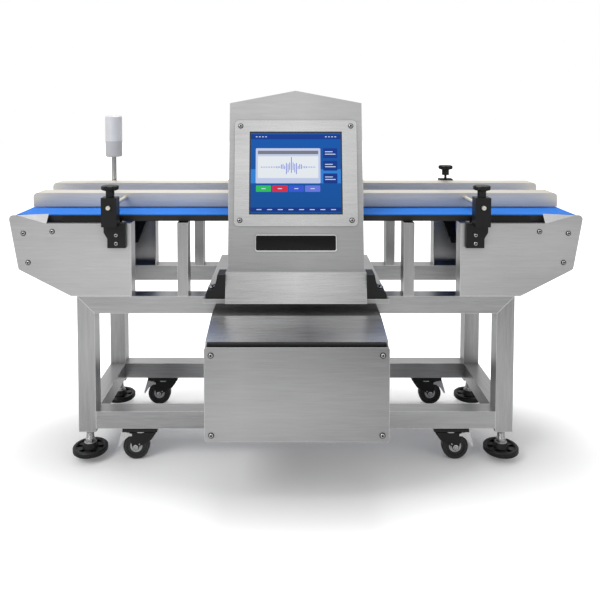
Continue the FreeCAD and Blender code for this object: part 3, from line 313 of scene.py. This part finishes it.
def wheel_finish():
    shade = Shade("caster_wheel")
    across, _, height = shade.axes()
    out = abs(across) - WHEEL_AXLE[0]
    up = height - WHEEL_AXLE[1]
    radius = shade.node("ShaderNodeMath", {"operation": "SQRT"}, {0: out * out + up * up})
    dust = shade.noise(120, 4)
    tread = radius.above(0.0285, 0.0002)
    hub = radius.above(HUB_RADIUS, 0.0002)
    body = shade.blend(tread, grey(0.012), shade.blend(dust, grey(0.005), grey(0.014)))
    colour = shade.blend(hub, grey(0.50), body)
    return shade.finish(Base_Color=colour, Metallic=1 - hub, Roughness=0.34 + tread * 0.16 + (dust - 0.5) * 0.1,
                        Normal=shade.bump(dust, 0.05, 0.0004))


def fork_finish():
    shade = Shade("caster_fork")
    race = shade.axes()[2].above(RACE_FOOT, 0.0002)
    pits = shade.noise(300, 3)
    return shade.finish(Base_Color=shade.blend(race, grey(0.006), grey(0.55)), Metallic=race,
                        Roughness=0.36 - race * 0.12 + (pits - 0.5) * 0.1, Specular_IOR_Level=0.3,
                        Normal=shade.bump(pits, 0.05, 0.0003))


def lens_finish():
    shade = Shade("lamp_lens")
    height = shade.axes()[2]
    rings = shade.node("ShaderNodeMath", {"operation": "SINE"}, {0: height * (2 * math.pi / 0.004)})
    cloud = shade.noise(20, 2)
    return shade.finish(Base_Color=shade.blend(cloud, grey(0.72, (0, 0, 0.02)), grey(0.80, (0, 0, 0.02))), Roughness=0.28,
                        Coat_Weight=0.3,
                        Normal=shade.bump(rings, 0.3, 0.0008))


def screen_glass_finish():
    shade = Shade("screen_glass")
    smear = shade.noise(30, 3)
    return shade.finish(Base_Color=grey(0.006), Roughness=0.08 + smear * 0.10, Coat_Weight=0.5)


levelling_foot = foot_finish()
caster_wheel = wheel_finish()
caster_fork = fork_finish()
lamp_lens = lens_finish()
screen_glass = screen_glass_finish()
print("two-tone finishes ready")

# %% [markdown]
# ## Dress the solids
# Each solid gets its finish by name. The grain follows the length of every tube: uprights along Z, long rails
# along X, cross rails along Y.

# %% Assign finishes to the solids
FINISHES = {
    "legs_": stainless["along_z"], "bed_posts": stainless["along_z"], "top_rail": stainless["along_x"],
    "low_rail": stainless["along_x"], "top_cross": stainless["along_y"], "low_cross": stainless["along_y"],
    "carrier_plate": stainless["along_x"], "side_cover": cover_steel, "end_wraps": stainless["along_y"],
    "front_guide": guide_steel, "rear_guide": guide_steel, "screen_bezel": bezel_steel,
    "head_base": base_steel, "head_shell": head_steel, "cabinet_": cabinet_steel, "door_": door_steel,
    "nose_": roller_steel, "snub_": roller_steel, "drive_": roller_steel, "takeup_": roller_steel,
    "roller_plates": black_paint, "conveyor_belt": belt_blue, "slider_bed": bed_dark,
    "insulator_": black_plastic, "guide_brackets": black_plastic, "knob_": black_plastic,
    "tunnel_liner": liner_plastic, "touch_screen": screen_glass, "lamp_pole": bright_steel,
    "lamp_base": lamp_grey, "lamp_lens": lamp_lens, "caster_plates": black_paint, "caster_fork": caster_fork,
    "caster_wheel": caster_wheel, "caster_pedal": bright_steel, "levelling_foot": levelling_foot,
}


def dress(name, solid):
    finish = [value for start, value in FINISHES.items() if name.startswith(start)][0]
    solid.data.materials.clear()
    solid.data.materials.append(finish)


for name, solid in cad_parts.items():
    dress(name, solid)
print("dressed", len(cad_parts), "solids")

# %% [markdown]
# ## Modelling helpers
# A new piece starts from a primitive and is shaped with edit-mode operators, as by hand. An operator acts on all
# that is selected, so every step starts from an empty selection. Faces are picked by where they lie and which
# way they face. A finished piece has its place in its mesh and rides on one body of the machine.

# %% Helpers to pick, seat and copy
def start(adder, **settings):
    """Add a primitive with nothing else selected."""
    bpy.ops.object.select_all(action="DESELECT")
    adder(**settings)
    return bpy.context.object


def pick_faces(piece, test):
    """Enter edit mode with only the faces selected that pass the test on centre and normal."""
    bpy.ops.object.mode_set(mode="EDIT")
    bpy.ops.mesh.select_mode(type="FACE")
    bpy.ops.mesh.select_all(action="DESELECT")
    bpy.ops.object.mode_set(mode="OBJECT")
    for face in piece.data.polygons:
        face.select = test(face.center, face.normal)
    bpy.ops.object.mode_set(mode="EDIT")


def pick_edges(piece, test):
    """Enter edit mode with only the edges selected whose two ends pass the test."""
    bpy.ops.object.mode_set(mode="EDIT")
    bpy.ops.mesh.select_mode(type="EDGE")
    bpy.ops.mesh.select_all(action="DESELECT")
    bpy.ops.object.mode_set(mode="OBJECT")
    points = piece.data.vertices
    for edge in piece.data.edges:
        edge.select = test(points[edge.vertices[0]].co, points[edge.vertices[1]].co)
    bpy.ops.object.mode_set(mode="EDIT")


def leave_edit():
    bpy.ops.object.mode_set(mode="OBJECT")


def seat(piece, name, body, slot, *finishes):
    """Fix the piece's place in its mesh, give it its finishes and let it ride."""
    bpy.ops.object.select_all(action="DESELECT")
    piece.select_set(True)
    bpy.context.view_layer.objects.active = piece
    bpy.ops.object.transform_apply(location=True, rotation=True, scale=True)
    bpy.ops.object.shade_smooth_by_angle(angle=math.radians(35))
    piece.name = name
    while len(piece.data.materials) < len(finishes):
        piece.data.materials.append(None)
    for number, finish in enumerate(finishes):
        piece.data.materials[number] = finish
    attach(piece, body)
    return piece


def copies(master, places):
    """Copy the master to each (place, turn) pair, join the copies and return the joined piece."""
    made = []
    for place, turn in places:
        bpy.ops.object.select_all(action="DESELECT")
        master.select_set(True)
        bpy.context.view_layer.objects.active = master
        bpy.ops.object.duplicate(linked=False)
        copy = bpy.context.object
        copy.matrix_world = Matrix.Translation(place) @ turn.to_matrix().to_4x4()
        made.append(copy)
    bpy.ops.object.select_all(action="DESELECT")
    for copy in made:
        copy.select_set(True)
    bpy.context.view_layer.objects.active = made[0]
    if len(made) > 1:
        bpy.ops.object.join()
    return bpy.context.object


def facing(direction):
    """Turn that takes +Z to the given direction."""
    return Vector((0, 0, 1)).rotation_difference(Vector(direction))


def discard(master):
    bpy.data.objects.remove(master, do_unlink=True)


print("helpers ready")

# %% [markdown]
# ## Button-head screws
# Covers, door and bezel are held by stainless button-head screws with a hexagon socket. One screw is modelled
# standing on z = 0: a cylinder whose top is drawn up and in three times to make the dome, then inset and
# pushed down for the socket. A dome of few faces is enough at this size.

# %% Model one screw
SCREW_RADIUS = 0.0058
SCREW_RISE = 0.0034
STEEL, DARK = 0, 1


def top_face(height):
    return lambda centre, normal: normal.z > 0.99 and centre.z > height


def two_finishes(piece, test):
    """Give the faces that pass the test the second finish and the rest the first."""
    piece.data.materials.clear()
    piece.data.materials.append(screw_steel)
    piece.data.materials.append(black_paint)
    for face in piece.data.polygons:
        face.material_index = DARK if test(face) else STEEL
    return piece


def joined(*pieces):
    bpy.ops.object.select_all(action="DESELECT")
    for piece in pieces:
        piece.select_set(True)
    bpy.context.view_layer.objects.active = pieces[0]
    bpy.ops.object.join()
    return bpy.context.object


def washer_and_shade_ring(radius, thick):
    """A flat ring with a rounded rim under a screw or bolt head. It comes all black, a rubber washer that is also
    painted shade round a screw head; a bolt gives its ring the steel finish.
    """
    ring = start(bpy.ops.mesh.primitive_cylinder_add, vertices=28, radius=radius, depth=thick,
                 location=(0, 0, thick / 2))
    bpy.ops.object.transform_apply(location=True, rotation=False, scale=False)
    pick_faces(ring, top_face(thick / 2))
    bpy.ops.mesh.inset(thickness=thick * 0.6, depth=thick * 0.4)
    leave_edit()
    return two_finishes(ring, lambda face: True)


def button_screw(radius=SCREW_RADIUS, rise=SCREW_RISE):
    screw = start(bpy.ops.mesh.primitive_cylinder_add, vertices=24, radius=radius, depth=rise * 0.4,
                  location=(0, 0, rise * 0.2))
    bpy.ops.object.transform_apply(location=True, rotation=False, scale=False)
    pick_faces(screw, top_face(rise * 0.3))
    for lift, shrink in ((0.35, 0.88), (0.2, 0.80), (0.05, 0.85)):
        bpy.ops.mesh.extrude_region_move(TRANSFORM_OT_translate={"value": (0, 0, rise * lift)})
        bpy.ops.transform.resize(value=(shrink, shrink, 1))
    bpy.ops.mesh.inset(thickness=radius * 0.10, depth=0)
    bpy.ops.mesh.extrude_region_move(TRANSFORM_OT_translate={"value": (0, 0, -rise * 0.55)})
    leave_edit()
    socket = radius * 0.52
    # Painted shade: the socket's walls and floor take the black finish, for the shade inside the socket.
    two_finishes(screw, lambda face: Vector(face.center[:2]).length < socket and face.center.z < rise * 0.95)
    # The black ring under the head is a rubber washer and painted shade round the head.
    return joined(screw, washer_and_shade_ring(radius * 1.28, rise * 0.22))


screw = button_screw()
print("screw has", len(screw.data.polygons), "faces")

# %% [markdown]
# ## Place the screws
# Each end box carries four screws on its face: two near the nose, one under them and one at the inner top. The
# back has the same pattern. The cabinet's door has one near each corner, and so has the screen's bezel, where
# the screws stand square to the leaning face.

# %% Screws on covers, door and bezel
FRONT = Vector((0, -1, 0))
BACK = Vector((0, 1, 0))


def cover_screws():
    """Four screws on each end box face, measured from the box's own corners."""
    spots = []
    for hand, side in (("left", -1), ("right", 1)):
        for end, outward in (("front", FRONT), ("rear", BACK)):
            low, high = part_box("side_cover_%s_%s" % (end, hand))
            face = low.y if end == "front" else high.y
            tip = max(abs(low.x), abs(high.x))
            inner = min(abs(low.x), abs(high.x))
            for x, z in ((tip - 0.040, high.z - 0.052), (tip - 0.122, high.z - 0.047),
                         (tip - 0.052, high.z - 0.136), (inner + 0.032, high.z - 0.032)):
                spots.append((Vector((side * x, face, z)), facing(outward)))
    return spots


def door_screws():
    low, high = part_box("door_panel")
    inset = 0.017
    return [(Vector((x, low.y, z)), facing(FRONT))
            for x in (low.x + inset, high.x - inset) for z in (low.z + inset, high.z - inset * 1.2)]


seat(copies(screw, cover_screws()), "cover_screws", "machine", "polished_steel", screw_steel, black_paint)
seat(copies(screw, door_screws()), "door_screws", "machine", "polished_steel", screw_steel, black_paint)
print("cover screws:", len(cover_screws()), "door screws:", len(door_screws()))

# %% [markdown]
# ## The leaning face
# The head's front leans back by about eleven degrees. The bezel is a flat slab on that face, so the middle of its
# box is the middle of the slab, and three directions describe the face: across, up the slope and outwards.

# %% Directions of the leaning face
LEAN = math.atan(0.203)
ACROSS = Vector((1, 0, 0))
UPHILL = Vector((0, math.sin(LEAN), math.cos(LEAN)))
OUTWARD = Vector((0, -math.cos(LEAN), math.sin(LEAN)))
BEZEL_THICK = 0.004
bezel_low, bezel_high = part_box("screen_bezel")
bezel_middle = (bezel_low + bezel_high) / 2
bezel_wide = bezel_high.x - bezel_low.x
bezel_tall = (bezel_high.z - bezel_low.z - BEZEL_THICK * math.sin(LEAN)) / math.cos(LEAN)
face_turn = Matrix((ACROSS, UPHILL, OUTWARD)).transposed().to_quaternion()


def on_face(across, up, out):
    """A point on the leaning face, from the bezel's middle; out counts from the head's own skin."""
    return bezel_middle + ACROSS * across + UPHILL * up + OUTWARD * (out - BEZEL_THICK / 2)


def bezel_screws():
    reach = bezel_wide / 2 - 0.016
    rise = bezel_tall / 2 - 0.016
    return [(on_face(x, up, BEZEL_THICK), face_turn) for x in (-reach, reach) for up in (-rise, rise)]


seat(copies(screw, bezel_screws()), "bezel_screws", "machine", "polished_steel", screw_steel, black_paint)
print("bezel is %.0f by %.0f mm" % (bezel_wide * 1000, bezel_tall * 1000))

# %% [markdown]
# ## The screen's picture
# The panel shows a plain operating page: a status strip, a signal trace with a level band, a column of counters
# and a row of keys. It carries no words or marks. Each area is a thin rounded plate whose finish glows with its
# own colour, so that the page reads the same in any light.

# %% Make the glowing colours
def glow(name, low, high, grid=0.0):
    """A screen colour that shades softly from one tone to another down the panel."""
    shade = Shade(name)
    height = shade.axes()[2]
    share = (height - bezel_low.z) / (bezel_high.z - bezel_low.z)
    grain = shade.noise(500, 2)
    colour = shade.blend(share + (grain - 0.5) * 0.05, low, high)
    return shade.finish(Base_Color=grey(0.0), Roughness=0.25, Specular_IOR_Level=0.2, Emission_Color=colour,
                        Emission_Strength=1.0)


page_blue = glow("page_blue", (0.000, 0.070, 0.290, 1), (0.001, 0.095, 0.420, 1))
page_haze = glow("page_haze", (0.020, 0.190, 0.600, 1), (0.030, 0.220, 0.680, 1))
panel_blue = glow("panel_blue", (0.000, 0.030, 0.210, 1), (0.001, 0.040, 0.280, 1))
panel_pale = glow("panel_pale", (0.46, 0.52, 0.72, 1), (0.58, 0.64, 0.84, 1))
plot_white = glow("plot_white", (0.72, 0.76, 0.80, 1), (0.80, 0.84, 0.88, 1))
plot_grey = glow("plot_grey", (0.14, 0.15, 0.19, 1), (0.20, 0.21, 0.25, 1))
key_green = glow("key_green", (0.02, 0.42, 0.09, 1), (0.03, 0.60, 0.14, 1))
key_red = glow("key_red", (0.55, 0.015, 0.05, 1), (0.80, 0.03, 0.08, 1))
key_blue = glow("key_blue", (0.03, 0.08, 0.55, 1), (0.04, 0.11, 0.75, 1))
key_violet = glow("key_violet", (0.12, 0.15, 0.62, 1), (0.16, 0.22, 0.85, 1))
trace_white = glow("trace_white", (0.55, 0.66, 0.85, 1), (0.65, 0.76, 0.95, 1))
print("screen colours ready")


# %% Lay out the page
def plate(across, up, wide, tall, out, round_by=0.002, thick=0.0003):
    """A thin plate on the leaning face with rounded corners."""
    piece = start(bpy.ops.mesh.primitive_cube_add, size=1)
    piece.scale = (wide, tall, thick)
    bpy.ops.object.transform_apply(location=False, rotation=False, scale=True)
    pick_edges(piece, lambda a, b: abs(a.z - b.z) > thick / 2)
    bpy.ops.mesh.bevel(offset=round_by, segments=4)
    leave_edit()
    piece.matrix_world = Matrix.Translation(on_face(across, up, out)) @ face_turn.to_matrix().to_4x4()
    return piece


SCREEN_WIDE = 0.256
SCREEN_TALL = 0.228
PAGE = 0.0006
ITEM = 0.0010
MARK = 0.0014

ROW = 0.0022

page = [("page_ground", 0, 0, SCREEN_WIDE, SCREEN_TALL, PAGE, page_blue, 0.002),
        ("page_haze", 0, -0.010, SCREEN_WIDE, 0.040, PAGE + 0.0002, page_haze, 0.001),
        ("page_strip", 0, 0.103, SCREEN_WIDE, 0.014, ITEM, panel_blue, 0.001),
        ("page_panel", -0.022, 0.020, 0.184, 0.100, ITEM, panel_pale, 0.003),
        ("page_plot", -0.022, 0.016, 0.172, 0.062, MARK, plot_white, 0.001),
        ("page_level", -0.022, 0.058, 0.172, 0.010, MARK, plot_grey, 0.001),
        ("page_key_start", -0.0915, -0.045, 0.043, 0.018, ITEM, key_green, 0.002),
        ("page_key_stop", -0.0452, -0.045, 0.043, 0.018, ITEM, key_red, 0.002),
        ("page_key_menu", 0.0012, -0.045, 0.043, 0.018, ITEM, key_blue, 0.002),
        ("page_key_log", 0.0475, -0.045, 0.043, 0.018, ITEM, key_violet, 0.002),
        ("page_foot", 0, -0.104, SCREEN_WIDE, 0.012, ITEM, panel_blue, 0.001)]
page += [("page_counter_%d" % row, 0.098, 0.056 - row * 0.036, 0.040, 0.028, ITEM, panel_blue, 0.002)
         for row in range(3)]


def dashes():
    """Small pale bars: status marks on the strips, figures in the counters and signs on the keys."""
    bars = [(-0.112 + step * 0.009, 0.103, 0.005, ROW) for step in range(4)]
    bars += [(0.086 + step * 0.009, 0.103, 0.005, ROW) for step in range(4)]
    bars += [(0.098 + shift, 0.060 - row * 0.036 - line * 0.007, wide, ROW)
             for row in range(3) for line, (shift, wide) in enumerate(((-0.004, 0.022), (0, 0.030)))]
    bars += [(-0.0915 + key * 0.04633, -0.045, 0.012, ROW) for key in range(4)]
    bars += [(-0.104 + step * 0.030, -0.104, 0.014, ROW) for step in range(8)]
    return joined(*[plate(across, up, wide, tall, MARK, 0.0006) for across, up, wide, tall in bars])


for name, across, up, wide, tall, out, finish, round_by in page:
    seat(plate(across, up, wide, tall, out, round_by), name, "machine", "screen_glass", finish)
seat(dashes(), "page_dashes", "machine", "screen_glass", trace_white)


def trace():
    """The signal: a row of short bars whose heights follow a decaying wave."""
    bars = []
    for step in range(33):
        swing = math.exp(-((step - 18) / 5) ** 2) * math.cos((step - 18) * 1.1)
        tall = 0.003 + abs(swing) * 0.042
        bars.append(plate(-0.098 + step * 0.00475, 0.016 + swing * 0.006, 0.0018, tall, MARK + 0.0004, 0.0004))
    return joined(*bars)


seat(trace(), "page_trace", "machine", "screen_glass", key_blue)
print("page has", len(page) + 2, "areas")

# %% [markdown]
# ## Nameplate
# Under the screen sits a black enamelled plate in a bright rim. It is bare here. A cube is flattened, its upright
# corners are rounded, and its face is inset and sunk to leave the rim standing.

# %% Model the nameplate
PLATE_WIDE = 0.229
PLATE_TALL = 0.0466
PLATE_MIDDLE_Z = 0.645
PLATE_RIM = 0.0028


def enamel_finish():
    shade = Shade("black_enamel")
    orange_peel = shade.noise(260, 2)
    return shade.finish(Base_Color=shade.blend(orange_peel, grey(0.001), grey(0.003)), Roughness=0.22,
                        Specular_IOR_Level=0.25, Normal=shade.bump(orange_peel, 0.04, 0.0004))


def nameplate():
    up = (PLATE_MIDDLE_Z - bezel_middle.z) / math.cos(LEAN)
    piece = plate(0, up, PLATE_WIDE, PLATE_TALL, 0.0014, 0.007, 0.0028)
    bpy.ops.object.select_all(action="DESELECT")
    piece.select_set(True)
    bpy.context.view_layer.objects.active = piece
    pick_faces(piece, top_face(0))
    bpy.ops.mesh.inset(thickness=PLATE_RIM, depth=0)
    bpy.ops.transform.translate(value=tuple(OUTWARD * -0.0009))
    leave_edit()
    field = max(piece.data.polygons, key=lambda face: face.area if face.normal.z > 0.99 else 0)
    return two_finishes(piece, lambda face: face.index == field.index)


seat(nameplate(), "nameplate", "machine", "black_plastic", bright_steel, enamel_finish())
print("nameplate is bare, %.0f mm wide" % (PLATE_WIDE * 1000))

# %% [markdown]
# ## Bolts of the insulating feet and brackets
# Black blocks carry the head on the stand, each held by a hexagon bolt with a washer. The guide brackets have
# two socket screws in their foot plates. A bolt is a six-sided cylinder whose top edge is bevelled.

# %% Model and place bolts
def hexagon_bolt(radius=0.0065, rise=0.005, washer=0.0095):
    head = start(bpy.ops.mesh.primitive_cylinder_add, vertices=6, radius=radius, depth=rise,
                 location=(0, 0, 0.0016 + rise / 2))
    bpy.ops.object.transform_apply(location=True, rotation=False, scale=False)
    pick_faces(head, top_face(rise))
    bpy.ops.mesh.bevel(offset=radius * 0.14, segments=2)
    leave_edit()
    two_finishes(head, lambda face: False)
    return joined(head, two_finishes(washer_and_shade_ring(washer, 0.0016), lambda face: False))


TOE_RISE = 0.024
TOE_REACH = 0.2365


def insulator_bolts():
    low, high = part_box("insulator_feet")
    return [(Vector((side * TOE_REACH, low.y + 0.030, low.z + TOE_RISE)), facing((0, 0, 1)))
            for side in (-1, 1)]


def bracket_screws():
    low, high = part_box("guide_brackets")
    reach = high.x - 0.035
    foot = 0.012
    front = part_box("side_cover_front_left")[0].y - foot
    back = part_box("side_cover_rear_left")[1].y + foot
    return [(Vector((side * reach, y, low.z + 0.013 + rise)), facing(outward))
            for side in (-1, 1) for y, outward in ((front, FRONT), (back, BACK)) for rise in (0, 0.024)]


bolt = hexagon_bolt()
seat(copies(bolt, insulator_bolts()), "insulator_bolts", "machine", "polished_steel", screw_steel, black_paint)
seat(copies(screw, bracket_screws()), "bracket_screws", "machine", "polished_steel", screw_steel, black_paint)
print("bolts:", len(insulator_bolts()), "bracket screws:", len(bracket_screws()))

# %% [markdown]
# ## Axle bolts of the casters
# A hexagon nut holds each wheel's axle on both sides of its fork, and a small screw beside it locks the bearing.
# Both stand on the fork's cheeks, so they swivel with the fork while the wheel turns between them.

# %% Place the axle nuts and lock screws
CHEEK_FACE = 0.0170
AXLE_REACH = 0.464
AXLE_HEIGHT = 0.0375
LOCK_INBOARD = 0.011
LOCK_UP = 0.0095

axle_nut = hexagon_bolt(0.0066, 0.0042, 0.0078)
lock_screw = button_screw(0.0026, 0.0018)
for end in ("front", "rear"):
    for hand, side in (("left", -1), ("right", 1)):
        low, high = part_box("caster_wheel_%s_%s" % (end, hand))
        middle_y = (low.y + high.y) / 2
        nuts, locks = [], []
        for face, outward in ((-CHEEK_FACE, FRONT), (CHEEK_FACE, BACK)):
            nuts.append((Vector((side * AXLE_REACH, middle_y + face, AXLE_HEIGHT)), facing(outward)))
            locks.append((Vector((side * (AXLE_REACH - LOCK_INBOARD), middle_y + face, AXLE_HEIGHT + LOCK_UP)),
                          facing(outward)))
        both = joined(copies(axle_nut, nuts), copies(lock_screw, locks))
        seat(both, "axle_nuts_%s_%s" % (end, hand), "fork_%s_%s" % (end, hand), "pedal_zinc", screw_steel,
             black_paint)
discard(axle_nut)
discard(lock_screw)
discard(bolt)
discard(screw)
print("axle nuts and lock screws placed")

# %% [markdown]
# ## Gap over the door
# The lid's folded lip shades a gap over the door, and the gap is filled with painted shade: one long
# rounded black bar just behind the door's face, with the lip's polished underside showing over it.

# %% Model the painted shade in the door gap
GAP_SHADE_TALL = 0.0085
GAP_SHADE_BACK = 0.0050


def door_gap_shade():
    low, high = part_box("door_panel")
    wide = high.x - low.x - 0.014
    shade_bar = start(bpy.ops.mesh.primitive_cube_add, size=1)
    shade_bar.scale = (wide, high.y - low.y - GAP_SHADE_BACK, GAP_SHADE_TALL)
    bpy.ops.object.transform_apply(location=False, rotation=False, scale=True)
    pick_edges(shade_bar, lambda a, b: abs(a.x - b.x) > wide / 2)
    bpy.ops.mesh.bevel(offset=0.002, segments=3)
    leave_edit()
    shade_bar.location = ((low.x + high.x) / 2, (low.y + GAP_SHADE_BACK + high.y) / 2, high.z + GAP_SHADE_TALL / 2 + 0.0003)
    return shade_bar


# The black bar is painted shade in the gap over the door.
seat(door_gap_shade(), "door_gap_shade", "machine", "black_plastic", black_plastic)
print("door seal placed")

# %% [markdown]
# ## Floor, world and lamps
# The machine stands on a plain white sweep under broad soft lamps. The floor adds a little glow of its own for
# the camera only, so that it reads as white paper and keeps the machine's shadow. Outside an oval round the
# machine that glow grows much stronger, as painted light that sets where the shadow fades out. Steel shows what
# is round it, so the world is bright above, with a darker belt near the horizon that draws the edges of the sheets.

# %% Make the floor
FLOOR_GLOW = 0.06
SHADOW_REACH = 0.55


def floor_finish():
    shade = Shade("white_floor")
    paper = shade.noise(3, 2)
    shade.finish(Base_Color=shade.blend(paper, grey(0.93), grey(0.95)), Roughness=0.9, Specular_IOR_Level=0.1)
    # Painted light: the camera-only glow grows outside an oval round the machine, which ends the shadow there.
    oval = shade.node("ShaderNodeVectorMath", {"operation": "MULTIPLY"}, {0: shade.place, 1: (1, 2.2, 1)})
    far = shade.node("ShaderNodeVectorMath", {"operation": "LENGTH"}, {0: oval}, "Value")
    strength = (far - SHADOW_REACH).capped() * 0.9 + FLOOR_GLOW
    glow_node = shade.node("ShaderNodeEmission", {}, {"Color": grey(1.0), "Strength": strength}, "Emission")
    seen = shade.node("ShaderNodeLightPath", {}, {}, "Is Camera Ray")
    black = shade.node("ShaderNodeEmission", {}, {"Color": grey(0.0), "Strength": 0.0}, "Emission")
    extra = shade.node("ShaderNodeMixShader", {}, {"Fac": seen, 1: black, 2: glow_node}, "Shader")
    surface = Signal(shade, shade.surface.outputs["BSDF"])
    both = shade.node("ShaderNodeAddShader", {}, {0: surface, 1: extra}, "Shader")
    output = shade.tree.nodes["Material Output"]
    shade.tree.links.new(both.socket, output.inputs["Surface"])
    return shade.material


floor = start(bpy.ops.mesh.primitive_circle_add, vertices=96, radius=14, fill_type="NGON", location=(0, 0, -0.0002))
floor.name = "floor"
floor.data.materials.append(floor_finish())
print("floor radius 14 m")


# %% Make the world
class Sky(Shade):
    """The world's tree, fed by the same sums; its place is a direction."""

    def __init__(self, name):
        self.material = bpy.data.worlds.new(name)
        self.material.use_nodes = True
        self.tree = self.material.node_tree
        self.surface = self.tree.nodes["Background"]
        self.place = self.node("ShaderNodeTexCoord", {}, {}, "Generated")


SOFT_FILL = 0.50


def studio():
    """Dimmer near the horizon and to the right, bright above, and white where the camera looks past."""
    sky = Sky("studio")
    across, _, height = sky.axes()
    rise = (height / 0.35).capped()
    level = (0.50 + rise * 0.45) * (1 - across * 0.28)
    seen = sky.node("ShaderNodeLightPath", {}, {}, "Is Camera Ray")
    mirrored = sky.node("ShaderNodeLightPath", {}, {}, "Is Glossy Ray")
    soft = sky.blend(mirrored, level * SOFT_FILL, level)
    sky.finish(Color=sky.blend(seen, soft, grey(1.0)), Strength=1.0)
    bpy.context.scene.world = sky.material


studio()
print("world ready")

# %% Hang the lamps
LAMPS = [("key_lamp", (-2.2, -2.4, 3.0), 2.2, 60), ("fill_lamp", (2.6, -2.2, 1.8), 2.4, 14),
         ("top_lamp", (0.0, 0.7, 3.3), 2.0, 42)]
for name, place, size, watts in LAMPS:
    bpy.ops.object.light_add(type="AREA", location=place)
    lamp = bpy.context.object
    lamp.name = name
    lamp.data.shape = "DISK"
    lamp.data.size = size
    lamp.data.energy = watts
    lamp.rotation_euler = (Vector((0, 0, 0.6)) - Vector(place)).to_track_quat("-Z", "Y").to_euler()
print("lamps:", len(LAMPS))

# %% [markdown]
# ## Finish
# The view transform is Standard, so a colour shows as it is written.

# %% Set the view transform
bpy.context.scene.view_settings.view_transform = "Standard"
